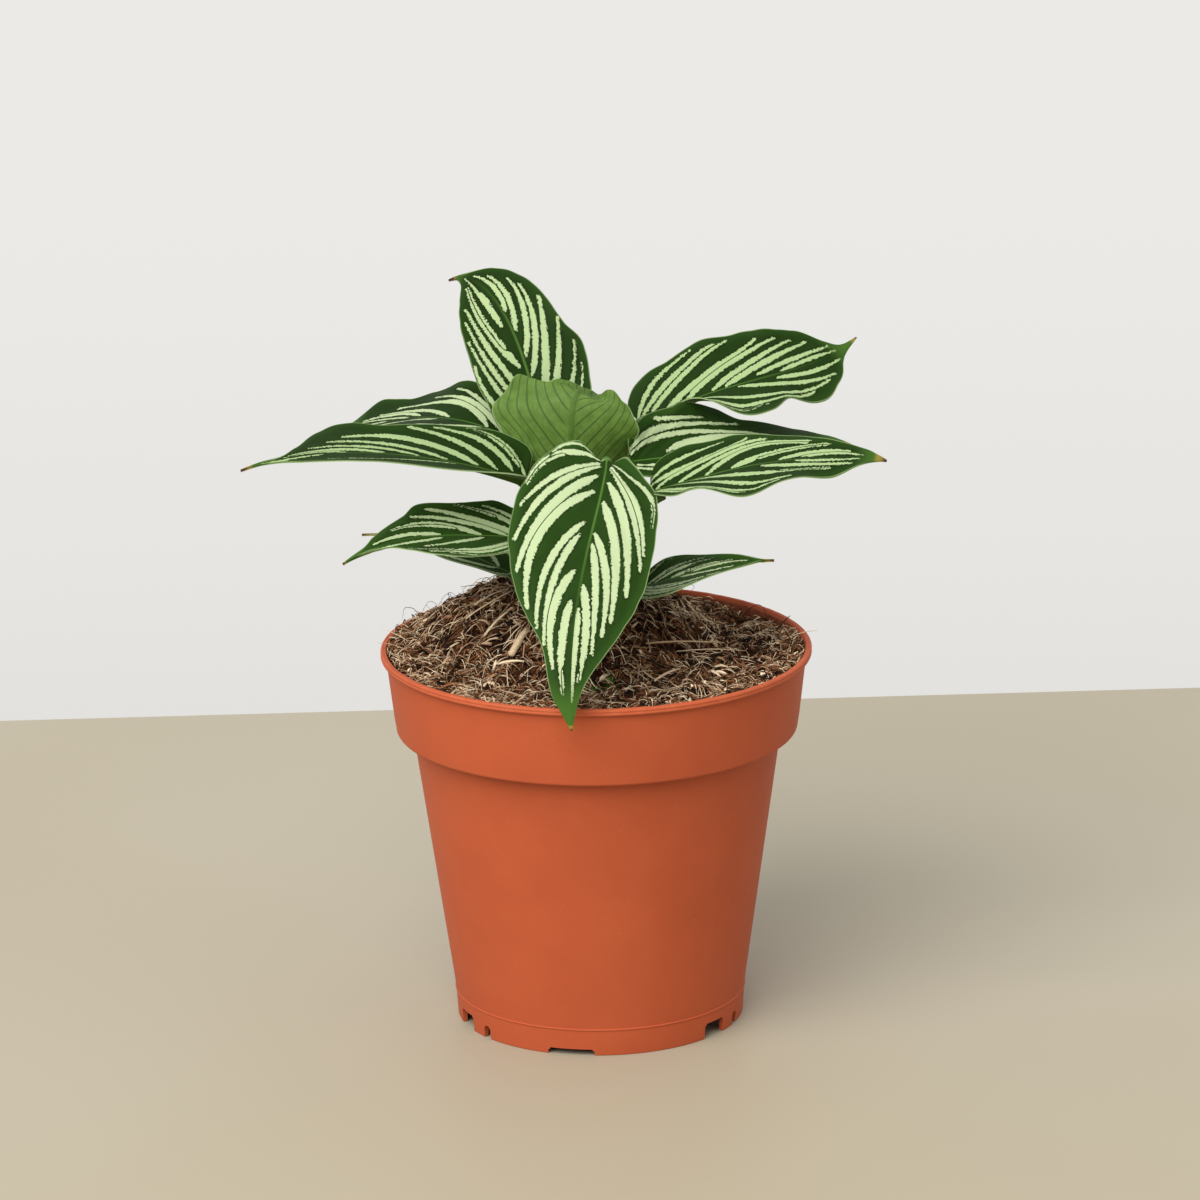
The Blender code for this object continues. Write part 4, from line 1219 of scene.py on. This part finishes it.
for half_blade, marks in STRIPE_LINES.items():
    STRIPES[half_blade] = [Stripe(width, split, places) for width, split, *places in marks]
print(sum(len(marks) for marks in STRIPES.values()), "stripes")

# %% Outline and midrib
def bezier(points, share):
    """Point and direction at a share of the way along a cubic curve."""
    a, b, c, d = points
    rest = 1 - share
    place = a * rest ** 3 + b * 3 * rest ** 2 * share + c * 3 * rest * share ** 2 + d * share ** 3
    slope = (b - a) * rest ** 2 + (c - b) * 2 * rest * share + (d - c) * share ** 2
    return place, slope.normalized()


def half_width(share, drip):
    """Half width of a blade at a share of its length, as a part of its greatest half width."""
    if share < WIDEST:
        return (1 - (1 - share / WIDEST) ** 2.2) ** 0.55
    gone = min(1, (share - WIDEST) / (1 - WIDEST - drip))
    return (1 - gone ** 1.65) ** 1.3


def smooth_curve(place, places, values):
    """A value at a place on a smooth curve through given values, which never overshoots them."""
    slopes = np.diff(values) / np.diff(places)
    product = slopes[:-1] * slopes[1:]
    inner = np.where(product > 0, 2 * product / (slopes[:-1] + slopes[1:]), 0)
    ends = np.concatenate(([slopes[0]], inner, [slopes[-1]]))
    index = int(np.clip(np.searchsorted(places, place) - 1, 0, len(places) - 2))
    step = places[index + 1] - places[index]
    share = (place - places[index]) / step
    start = values[index] + step * share * ends[index]
    end = values[index + 1] - step * (1 - share) * ends[index + 1]
    return between(start, end, share * share * (3 - 2 * share))


def half_size(name, side, share):
    """The real half width of one side of a blade in metres."""
    if name not in HALF_WIDTHS:
        return LEAVES[name].halves[side] * MM * half_width(share, LEAVES[name].drip)
    widths = HALF_WIDTHS[name][side]
    if share < WIDTH_PLACES[0]:
        return widths[0] * MM * (max(0, share) / WIDTH_PLACES[0]) ** 0.5
    return smooth_curve(share, (*WIDTH_PLACES, 1), np.array((*widths, 0.1))) * MM


# %% Rings along a leaf
def turned_normal(normal, before, after):
    """The normal carried along from one direction to the next without spinning."""
    return (before.rotation_difference(after) @ normal).normalized()


def blade_frames(leaf, count):
    """(share, place, direction, normal) at rings from the blade's base to its tip."""
    line = [Vector(point) * MM for point in (leaf.base, leaf.near, leaf.far, leaf.tip)]
    face = Vector(leaf.face)
    frames = []
    normal = before = None
    for ring in range(count):
        share = 0.5 - 0.5 * math.cos(math.pi * ring / (count - 1))
        place, ahead = bezier(line, share)
        if normal is None:
            normal = (face - ahead * face.dot(ahead)).normalized()
        else:
            normal = turned_normal(normal, before, ahead)
        before = ahead
        frames.append((share, place, ahead, Quaternion(ahead, math.radians(leaf.twist) * share) @ normal))
    return frames


def stalk_frames(leaf, count):
    """(place, direction, normal) at rings from the stalk's foot in the soil to the blade's base."""
    x, y = leaf.foot[0] * MM, leaf.foot[1] * MM
    ground = soil_height(x, y)
    start = Vector((x, y, ground + STALK_RISE))
    _, place, ahead, normal = blade_frames(leaf, 2)[0]
    reach = (place - start).length
    line = [start, start + Vector((0, 0, 0.5 * reach)), place - ahead * STALK_BEND, place]
    found = [bezier(line, ring / count) for ring in range(count)]
    found.insert(0, (Vector((x, y, ground - STALK_DEPTH)), Vector((0, 0, 1))))
    frames = []
    before = ahead
    for point, along in found[::-1]:
        normal = turned_normal(normal, before, along)
        before = along
        frames.insert(0, (point, along, normal))
    return frames


# %% One ring of a blade
SIDE_SHIFT = 2.1


def blade_section(name, share, across, place, ahead, normal):
    """Points of the blade's middle surface and its own normals across one ring."""
    leaf = LEAVES[name]
    side = np.array(ahead.cross(normal))
    place, ahead, normal = np.array(place), np.array(ahead), np.array(normal)
    right = (across > 0).astype(int)
    sign = np.where(right, 1.0, -1.0)
    filled = half_width(share, leaf.drip)
    sizes = np.array([half_size(name, 0, share), half_size(name, 1, share)])
    half = np.maximum(sizes[right], TIP_HALF_WIDTH)
    out = np.abs(across)
    fold = np.radians(np.array(leaf.fold, float))[right] * (1 - share) ** 2
    curl = np.radians(np.array(leaf.curl, float))[right]
    tilt = fold + curl * out
    level = half / curl * (np.sin(tilt) - np.sin(fold)) * sign
    lift = half / curl * (np.cos(fold) - np.cos(tilt))
    wave = np.sin(math.tau * leaf.ripples * share + SIDE_SHIFT * right)
    lift += np.array(leaf.ripple)[right] * MM * wave * out ** 3 * min(1, 5 * share, 5 * (1 - share))
    back = leaf.lobe * MM * 4 * filled * (1 - filled) * out ** 2 if share < WIDEST else 0 * out
    up = normal * np.cos(tilt)[:, None] - side * (np.sin(tilt) * sign)[:, None]
    points = place + side * level[:, None] + normal * lift[:, None] - ahead * back[:, None]
    for pull in PULLS.get(name, ()):
        near = np.exp(-((share - pull.share) / pull.reach) ** 2 - ((across - pull.across) / pull.spread) ** 2)
        points += near[:, None] * np.array(pull.way) * MM
    return points, up, half


# %% [markdown]
# ### How far each point is from a stripe
# A stripe is a smooth line on the blade laid flat, and a split stripe is two strands side by side.
# Each point of the mesh keeps its distance from the edge of the nearest even strand and of the
# nearest odd one, below zero inside. A distance changes evenly from point to point, so an edge stays
# crisp between them. Where both distances are the same, two strands meet, and a dark line parts them.
# Every stripe is drawn a tenth wider than written. It widens quickly from its start, or slowly if it
# starts at the leaf's base, and then it thins towards the margin. A stripe with only two places
# bows by a share of its length, and most at the leaf's base.

# %% Measure from the stripes
STRIPE_STEPS = 26
WIDENED = 1.1
BASE_PART = 0.06
BLUNT_START = 0.12
SLOW_START = 0.35
THIN_FROM = 0.45
THINNED = 0.55
SPLIT_LENGTH = 0.1
STRAND_OFFSET = 0.54
STRAND_SHARE = 0.42
STRAND_HIDDEN = 0.6 * MM
BOW = 0.05
BASE_BOW = 0.1
BASE_BOW_FADE = 0.12
VEIN_LINES = 46
VEIN_STARTS = (-0.06, 0.0, 0.02, 0.07, 0.16, 0.31, 0.46, 0.6, 0.75, 0.9)
VEIN_ENDS = (0.1, 0.25, 0.42, 0.57, 0.68, 0.77, 0.84, 0.91, 0.96, 0.99)


def flat_place(leaf, side, share, out, length, half=None):
    """A place on a half blade that is laid flat: metres along the midrib and away from it."""
    filled = half_width(max(0, share), leaf.drip)
    half = leaf.halves[side] * MM * filled if half is None else half
    back = leaf.lobe * MM * 4 * filled * (1 - filled) * out ** 2 if share < WIDEST else 0 * out
    return np.stack([share * length - back, out * half], -1)


def stripe_line(leaf, side, mark, length):
    """The stripe's middle line as points on the flat blade."""
    places = [flat_place(leaf, side, share, np.array(out), length) for share, out in mark.places]
    start, end = places[0], places[-1]
    if len(places) == 3:
        middle = places[1]
    else:
        chord = end - start
        bow = BOW + BASE_BOW * math.exp(-max(0, mark.places[0][0]) / BASE_BOW_FADE)
        middle = start + chord / 2 + bow * np.array([-chord[1], chord[0]])
    first, second = np.linalg.norm(middle - start), np.linalg.norm(end - middle)
    share = first / (first + second)
    pull = (middle - start * (1 - share) ** 2 - end * share ** 2) / (2 * share * (1 - share))
    steps = np.linspace(0, 1, STRIPE_STEPS)[:, None]
    return start * (1 - steps) ** 2 + pull * 2 * steps * (1 - steps) + end * steps ** 2


def smooth(value):
    value = np.clip(value, 0, 1)
    return value * value * (3 - 2 * value)


def from_line(spots, line):
    """Distance of each spot from a line, with its side as a sign, and its share of the way along."""
    start, step = line[:-1], np.diff(line, axis=0)
    size = np.linalg.norm(step, axis=1)
    gap = spots[:, None] - start[None]
    share = np.clip((gap * step).sum(2) / size ** 2, 0, 1)
    away = np.linalg.norm(gap - step * share[..., None], axis=2)
    near = away.argmin(1)
    rows = np.arange(len(spots))
    turn = step[near, 0] * gap[rows, near, 1] - step[near, 1] * gap[rows, near, 0]
    before = np.concatenate(([0], np.cumsum(size)[:-1]))
    way = before[near] + share[rows, near] * size[near]
    return away[rows, near] * np.where(turn < 0, -1, 1), way / size.sum()


def stripe_fields(leaf, side, marks, spots, length):
    """Distances from the edges of the nearest even and the nearest odd strand, in metres."""
    nearest = np.ones((2, len(spots)))
    count = 0
    for mark in marks:
        signed, along = from_line(spots, stripe_line(leaf, side, mark, length))
        blunt = BLUNT_START if mark.places[0][0] > BASE_PART else SLOW_START
        half = mark.width * WIDENED * MM / 2 * (0.5 + 0.5 * smooth(along / blunt))
        half *= 1 - THINNED * smooth((along - THIN_FROM) / (1 - THIN_FROM))
        parted = smooth((along - mark.split) / SPLIT_LENGTH) if mark.split else 0 * along
        offset = STRAND_OFFSET * parted * half
        strands = [(offset, half * (1 - (1 - STRAND_SHARE) * parted))]
        if mark.split:
            strands.append((-offset, STRAND_SHARE * half * parted - STRAND_HIDDEN * (1 - parted)))
        for centre, size in strands:
            nearest[count % 2] = np.minimum(nearest[count % 2], np.abs(signed - centre) - size)
            count += 1
    return nearest


def vein_field(share, out):
    """Which vein a place lies on, as a number that grows evenly from vein to vein."""
    starts = np.linspace(VEIN_STARTS[0], VEIN_STARTS[-1], VEIN_LINES)
    ends = np.interp(starts, VEIN_STARTS, VEIN_ENDS)
    bend = 1 + np.exp(-np.maximum(0, starts) / 0.1)
    lines = starts + (ends - starts) * out[:, None] ** bend
    found = [np.interp(share, line, starts) for line in lines]
    return np.interp(found, VEIN_STARTS, range(len(VEIN_STARTS)))


# %% [markdown]
# ### Skinning a leaf
# The stalk's round rings turn into the blade's flat ones over the first few hundredths of the blade.
# Each ring has an upper and a lower row. The lower row drops under the midrib, where the real rib
# stands proud. The upper row rises and falls a little with the veins, which quilts the blade.
#
# The corners carry distances in centimetres. The two halves are set apart in them, so that their
# noise differs. Each leaf also carries where its tip begins to dry and how dark it dries, how pale
# its stripes are between green and cream, partly their own tone and partly painted light, and how
# far its green leans to the deepest one, as painted shade.

# %% What each leaf carries
QUILT = 0.10 * MM
RIB_SPREAD = 0.55 * MM
RIB_TAPER = 0.6
JOINT_ROWS = 5
CENTIMETRES = 100
FLAT_APART = 5
VEINS_APART = 20
LABELS = ("stripe", "flat", "vein", "blade", "size", "tip", "tone_and_shade")
UPPER, UNDER, STALK, MARGIN = range(4)
Look = namedtuple("Look", "dry_from dryness paleness depth")
# Paleness is partly the stripes' own tone and partly painted light. Depth is painted shade.
LOOKS = {
    "leaf_back_left": Look(0.955, 0.9, 0.6, 0.5),
    "leaf_new": Look(0.97, 0.4, 0.8, 0),
    "leaf_front": Look(0.99, 0.4, 1, 0.2),
    "leaf_right_high": Look(0.985, 0.4, 0.35, 0.5),
    "leaf_right_mid": Look(0.97, 0.4, 0.95, 0.25),
    "leaf_right_low": Look(0.96, 0.4, 0.4, 0.5),
    "leaf_left_high": Look(0.97, 0.4, 1, 0.5),
    "leaf_left_mid": Look(0.965, 0.6, 0.4, 0.5),
    "leaf_left_low": Look(0.985, 0.5, 0.7, 0.1),
    "leaf_left_small": Look(0.9, 0.2, 0.9, 0),
    "leaf_right_small": Look(0.95, 0.4, 1, 0),
}


def stalk_section(across, place, ahead, normal, radius):
    """Upper and lower points of a round ring with as many points as a ring of the blade."""
    side = np.array(ahead.cross(normal))
    place, normal = np.array(place), np.array(normal)
    turn = across * ROUND_ARC
    level = side * (np.sin(turn) * radius)[:, None]
    rise = normal * (np.cos(turn) * radius)[:, None]
    return place + level + rise, place + level - rise


def half_fields(name, pairs, row, share, across, half, length):
    """Fills in what each corner of a ring carries, for both halves of the blade."""
    leaf, look = LEAVES[name], LOOKS[name]
    middle = BLADE_COLUMNS[name] // 2
    veins = np.zeros(len(across))
    for side, span in enumerate((slice(0, middle + 1), slice(middle, None))):
        out = np.abs(across[span])
        spots = flat_place(leaf, side, share, out, length, half_size(name, side, share))
        edges = stripe_fields(leaf, side, STRIPES[name, side], spots, length)
        veins[span] = vein_field(share, out)
        pairs["stripe"][side, row, span] = edges.T * CENTIMETRES
        pairs["flat"][side, row, span] = spots * CENTIMETRES + (0, FLAT_APART * side)
        pairs["vein"][side, row, span] = np.stack([veins[span] + VEINS_APART * side, out], -1)
    pairs["blade"][:, row, :, 0] = share
    pairs["blade"][:, row, :, 1] = across
    pairs["tip"][:, row] = (max(-1, (share - look.dry_from) / (1 - look.dry_from)), look.dryness)
    pairs["tone_and_shade"][:, row] = (look.paleness, look.depth)
    pairs["size"][:, row, :, 0] = np.abs(across) * half * CENTIMETRES
    pairs["size"][:, row, :, 1] = (1 - np.abs(across)) * half * CENTIMETRES
    return veins


# %% Rows of a leaf
def leaf_rows(name):
    """Every ring's upper and lower points, and the pairs of numbers its corners carry."""
    leaf = LEAVES[name]
    across = np.linspace(-1, 1, BLADE_COLUMNS[name] + 1)
    stalk = stalk_frames(leaf, STALK_RINGS)
    frames = blade_frames(leaf, BLADE_RINGS)
    length = sum((after[1] - before[1]).length for before, after in zip(frames, frames[1:]))
    rows = len(stalk) + len(frames)
    pairs = {label: np.zeros((2, rows, len(across), 2)) for label in LABELS}
    uppers, lowers = [], []
    for index, (place, ahead, normal) in enumerate(stalk):
        swell = max(0, (index - len(stalk) + JOINT_ROWS) / JOINT_ROWS)
        radius = between(STALK_RADIUS, JOINT_RADIUS, swell)
        upper, lower = stalk_section(across, place, ahead, normal, radius)
        uppers.append(upper)
        lowers.append(lower)
    for ring, (share, place, ahead, normal) in enumerate(frames):
        row = len(stalk) + ring
        points, up, half = blade_section(name, share, across, place, ahead, normal)
        veins = half_fields(name, pairs, row, share, across, half, length)
        inner = np.clip(np.abs(across) * 5, 0, 1) * np.clip((1 - np.abs(across)) * 5, 0, 1)
        quilt = np.cos(math.tau * veins) * inner
        grown = smooth(share / JOINT_SHARE)
        round_upper, round_lower = stalk_section(across, place, ahead, normal, JOINT_RADIUS)
        rib = RIB_DEPTH * (1 - RIB_TAPER * share) * np.exp(-(np.abs(across) * half / RIB_SPREAD) ** 2)
        rise = SKIN_LIFT + QUILT * quilt * (1 - share)
        upper = points + up * rise[:, None]
        lower = points + up * (rise - np.maximum(BLADE_THICKNESS, rib))[:, None]
        uppers.append(between(round_upper, upper, grown))
        lowers.append(between(round_lower, lower, grown))
    for label in pairs:
        pairs[label][:, :len(stalk)] = pairs[label][:, len(stalk):len(stalk) + 1]
    pairs["blade"][:, :len(stalk), :, 0] = np.linspace(-1, 0, len(stalk))[None, :, None]
    return np.array(uppers), np.array(lowers), pairs, len(stalk)


# %% Join the rows
def build_leaf(name, finishes):
    """One leaf as a closed skin: upper side, under side, margin and stalk."""
    upper, lower, pairs, stalk_rows = leaf_rows(name)
    rows, wide = upper.shape[:2]
    points = np.concatenate((upper, lower), axis=1).reshape(-1, 3)
    faces, kinds, corners = [], [], []
    middle = BLADE_COLUMNS[name] // 2

    def number(row, column, below):
        return row * 2 * wide + column + (wide if below else 0)

    def add_face(cells, kind, half, flip):
        cells = cells[::-1] if flip else cells
        faces.append(tuple(number(row, column, under) for row, column, under in cells))
        kinds.append(kind)
        corners.extend((half, row, column) for row, column, _ in cells)

    for row in range(rows - 1):
        on_stalk = row < stalk_rows
        for column in range(wide - 1):
            half = 0 if column < middle else 1
            for below in (False, True):
                cells = [(row, column, below), (row, column + 1, below)]
                cells += [(row + 1, column + 1, below), (row + 1, column, below)]
                blade_side = UNDER if below else UPPER
                add_face(cells, STALK if on_stalk else blade_side, half, not below)
        for column, flip in ((0, True), (wide - 1, False)):
            cells = [(row, column, False), (row + 1, column, False)]
            cells += [(row + 1, column, True), (row, column, True)]
            add_face(cells, STALK if on_stalk else MARGIN, 0 if column == 0 else 1, not flip)
    for row, flip in ((0, False), (rows - 1, True)):
        for column in range(wide - 1):
            cells = [(row, column, False), (row, column + 1, False)]
            cells += [(row, column + 1, True), (row, column, True)]
            add_face(cells, STALK, 0 if column < middle else 1, not flip)
    corners = np.array(corners)
    chosen = {label: values[corners[:, 0], corners[:, 1], corners[:, 2]] for label, values in pairs.items()}
    add_piece(name + "_growth", points, faces, [name], finishes, kinds, chosen)


# %% [markdown]
# ### The stripes' paint
# Each corner of the blade already knows its distance from the nearest stripe, so the paint only
# decides what that distance means: pale inside, darkest just outside, and a softer green midway to
# the next stripe. Noise on the flat blade frays the edges into small teeth. Streaks follow the veins.

# %% Leaf finishes
DARK_GREEN = painted("182A0A")
PAINTED_SHADE_GREEN = painted("0C1A04")
BAND_GREEN = painted("233D11")
EDGE_GREEN = painted("2F4E1B")
STRIPE_PALE = painted("AABA90")
STRIPE_GREEN = painted("859F66")
MIDRIB_GREEN = painted("4A6E2C")
MARGIN_PALE = painted("7F9663")
TIP_GREEN = painted("3E6022")
TIP_YELLOW = painted("7A7030")
TIP_BROWN = painted("4A2A1C")
UNDER_GREEN = painted("5A7632")
UNDER_DEEP = painted("425E20")
UNDER_VEIN = painted("2C4619")
STALK_GREEN = painted("40602A")
STALK_DARK = painted("2A401C")


def fold_of(wire):
    """The distance to the nearest whole number, from 0 to 0.5."""
    return abs(wire + 0.5 - (wire + 0.5).floor() - 0.5)


def dried(tree, colour):
    """Turns the last of a blade from green to dry yellow and brown."""
    dry, tone = pair_of(tree, "tip")
    colour = mixed(dry.ramp(-0.4, 0.1), colour, TIP_YELLOW)
    return mixed((dry + tone).ramp(0.7, 1.3), colour, TIP_BROWN)


def leaf_upper():
    made, tree, surface = new_material("leaf_upper")
    even, odd = pair_of(tree, "stripe")
    along, away = pair_of(tree, "flat")
    vein, out = pair_of(tree, "vein")
    share, _ = pair_of(tree, "blade")
    from_rib, from_margin = pair_of(tree, "size")
    paleness, depth = pair_of(tree, "tone_and_shade")
    where = place_of(tree)
    flat = vector_of(tree, along, away)
    teeth = noise_of(tree, flat, 19, 3, 0.65) - 0.5
    waves = noise_of(tree, flat, 7, 1, 0.5) - 0.5
    edge = even.least(odd) + teeth * 0.16 + waves * 0.05
    parting = abs(even - odd + teeth * 0.02).ramp(0.016, 0.028)
    stripe_mask = edge.ramp(0.003, -0.003) * parting
    streaks = noise_of(tree, vector_of(tree, vein * 22, out * 3), 1, 3, 0.6)
    fine = noise_of(tree, where, 1900, 3, 0.6)
    clouds = noise_of(tree, where, 130, 2, 0.5)
    green = mixed(edge.ramp(0.012, 0.07), DARK_GREEN, BAND_GREEN)
    green = mixed(streaks.ramp(0.4, 0.7) * 0.3, green, DARK_GREEN)
    green = mixed(from_margin.ramp(0.28, 0.05) * 0.7, green, EDGE_GREEN)
    green = mixed(clouds.ramp(0.35, 0.7) * 0.25, green, EDGE_GREEN)
    # Each leaf's green leans by its depth towards a deeper green: painted shade.
    green = mixed(depth, green, PAINTED_SHADE_GREEN)
    # Each leaf's stripes are paler by its paleness: partly their own tone, partly painted light.
    pale = mixed(1 - paleness * (1 - streaks.ramp(0.45, 0.75) * 0.3), STRIPE_PALE, STRIPE_GREEN)
    colour = mixed(stripe_mask, green, pale)
    rib = from_rib.ramp(0.045, 0.02)
    colour = mixed(rib * share.ramp(0.9, 0.1) * 0.85, colour, MIDRIB_GREEN)
    colour = mixed(share.ramp(0.86, 0.96) * 0.8, colour, TIP_GREEN)
    rim = from_margin.ramp(0.03, 0.012) * share.ramp(0.94, 0.88)
    colour = mixed(rim * 0.7, colour, MARGIN_PALE)
    colour = dried(tree, colour)
    roughness = 0.46 + 0.14 * fine + 0.05 * stripe_mask
    relief = streaks * 0.5 + fine * 0.5 - rib * 1.2 - stripe_mask * 0.3
    feed(tree, surface, Base_Color=colour, Roughness=roughness, Normal=bumped(relief, 0.3, 0.12 * MM))
    feed(tree, surface, Specular_IOR_Level=0.04)
    return made


def leaf_under():
    made, tree, surface = new_material("leaf_under")
    vein, out = pair_of(tree, "vein")
    from_rib, from_margin = pair_of(tree, "size")
    fine = noise_of(tree, vector_of(tree, vein * 26, out * 2.5), 1, 3, 0.6)
    clouds = noise_of(tree, place_of(tree), 420, 5, 0.7)
    line = fold_of(vein * 1.7).ramp(0.13, 0.03) * out.ramp(0.02, 0.1)
    colour = mixed(clouds.ramp(0.35, 0.65) * 0.7, UNDER_GREEN, UNDER_DEEP)
    colour = mixed(fine.ramp(0.42, 0.7) * 0.4, colour, UNDER_DEEP)
    colour = mixed(line * 0.7, colour, UNDER_VEIN)
    colour = mixed(from_rib.ramp(0.1, 0.02) * 0.35, colour, UNDER_VEIN)
    colour = mixed(from_margin.ramp(0.05, 0.015) * 0.7, colour, MARGIN_PALE)
    colour = dried(tree, colour)
    relief = fine * 0.5 + line * 1.2
    feed(tree, surface, Base_Color=colour, Roughness=0.55, Normal=bumped(relief, 0.4, 0.14 * MM))
    feed(tree, surface, Specular_IOR_Level=0.16)
    return made


def leaf_margin():
    made, tree, surface = new_material("leaf_margin")
    share, _ = pair_of(tree, "blade")
    colour = mixed(share.ramp(0.88, 0.94), MARGIN_PALE, TIP_GREEN)
    feed(tree, surface, Base_Color=dried(tree, colour), Roughness=0.5)
    return made


def leaf_stalk():
    made, tree, surface = new_material("leaf_stalk")
    share, across = pair_of(tree, "blade")
    fine = noise_of(tree, vector_of(tree, across * 9, share * 3), 1, 3, 0.6)
    clouds = noise_of(tree, place_of(tree), 300, 3, 0.6)
    colour = mixed(fine.ramp(0.35, 0.7), STALK_GREEN, STALK_DARK)
    colour = mixed(share.ramp(-0.25, -0.05) * 0.5, colour, UNDER_GREEN)
    colour = mixed(clouds.ramp(0.55, 0.75) * 0.3, colour, TIP_BROWN)
    feed(tree, surface, Base_Color=colour, Roughness=0.5, Normal=bumped(fine, 0.4, 0.2 * MM))
    return made


finishes = [leaf_upper(), leaf_under(), leaf_stalk(), leaf_margin()]
for name in LEAVES:
    build_leaf(name, finishes)

# %% [markdown]
# ## Table, sky and light
# The plant stands on a plain cream table. The daylight comes from the left of the camera and from
# high up. One large lamp gives it its direction, and its size makes the shadows soft. The sky fills
# the rest. It is pale and even, a little darker below the horizon, and also serves as the wall.

# %% The table
TABLE = painted("A69F8F")
TABLE_SHADE = painted("A29984")
TABLE_EDGE = (0.20, 0.25)
TABLE_FRONT = 2.2
TABLE_SIDE = 2.4
TABLE_THICK = 0.03


def plain_paint(name, first, second, rough):
    made, tree, surface = new_material(name)
    clouds = noise_of(tree, place_of(tree), 2.5, 2, 0.5)
    grain = noise_of(tree, place_of(tree), 900, 2, 0.5)
    colour = mixed(clouds.ramp(0.3, 0.7), first, second)
    feed(tree, surface, Base_Color=colour, Roughness=rough, Normal=bumped(grain, 0.05, 0.2 * MM))
    feed(tree, surface, Specular_IOR_Level=0.25)
    return made


def add_stage(name, points, faces, material):
    mesh = bpy.data.meshes.new(name)
    mesh.from_pydata(points, [], faces)
    mesh.materials.append(material)
    stage = bpy.data.objects.new(name, mesh)
    bpy.context.scene.collection.objects.link(stage)


def build_table():
    """A table top whose back edge runs a little askew behind the pot."""
    low, high = TABLE_EDGE
    skew = (high - low) * TABLE_SIDE
    corners = [(-TABLE_SIDE, -TABLE_FRONT), (TABLE_SIDE, -TABLE_FRONT)]
    corners += [(TABLE_SIDE, high + skew), (-TABLE_SIDE, high - skew)]
    points = [(x, y, 0) for x, y in corners] + [(x, y, -TABLE_THICK) for x, y in corners]
    faces = [(0, 1, 2, 3), (7, 6, 5, 4), (0, 4, 5, 1), (1, 5, 6, 2), (2, 6, 7, 3), (3, 7, 4, 0)]
    add_stage("table", points, faces, plain_paint("table_paint", TABLE, TABLE_SHADE, 0.55))


build_table()

# %% Lights
Lamp = namedtuple("Lamp", "place aim size power colour")
LAMP = Lamp((-0.95, -1.62, 1.9), (0, 0, 0.1), 2.5, 90, (1.0, 0.98, 0.95))
SKY_HIGH = painted("EBEAE7")
SKY_LOW = painted("D6D4D0")


def add_lamp():
    light = bpy.data.lights.new("key", "AREA")
    light.shape = "DISK"
    light.size = LAMP.size
    light.energy = LAMP.power
    light.color = LAMP.colour
    made = bpy.data.objects.new("key", light)
    made.location = LAMP.place
    made.rotation_mode = "QUATERNION"
    made.rotation_quaternion = (Vector(LAMP.aim) - made.location).to_track_quat("-Z", "Y")
    bpy.context.scene.collection.objects.link(made)


def set_sky():
    """A pale sky that darkens below the horizon, and a plain view of the colours."""
    world = bpy.data.worlds.new("sky")
    bpy.context.scene.world = world
    world.use_nodes = True
    tree = world.node_tree
    where = add_node(tree, "ShaderNodeTexCoord", None, None, "Generated")
    height = Wire(where.add("ShaderNodeSeparateXYZ", None, {0: where}).socket.node.outputs[2])
    feed(tree, tree.nodes["Background"], Color=mixed(height.ramp(-0.4, -0.22), SKY_LOW, SKY_HIGH))
    bpy.context.scene.view_settings.view_transform = "Standard"


add_lamp()
set_sky()
print("one lamp of", LAMP.power, "watts and a sky")
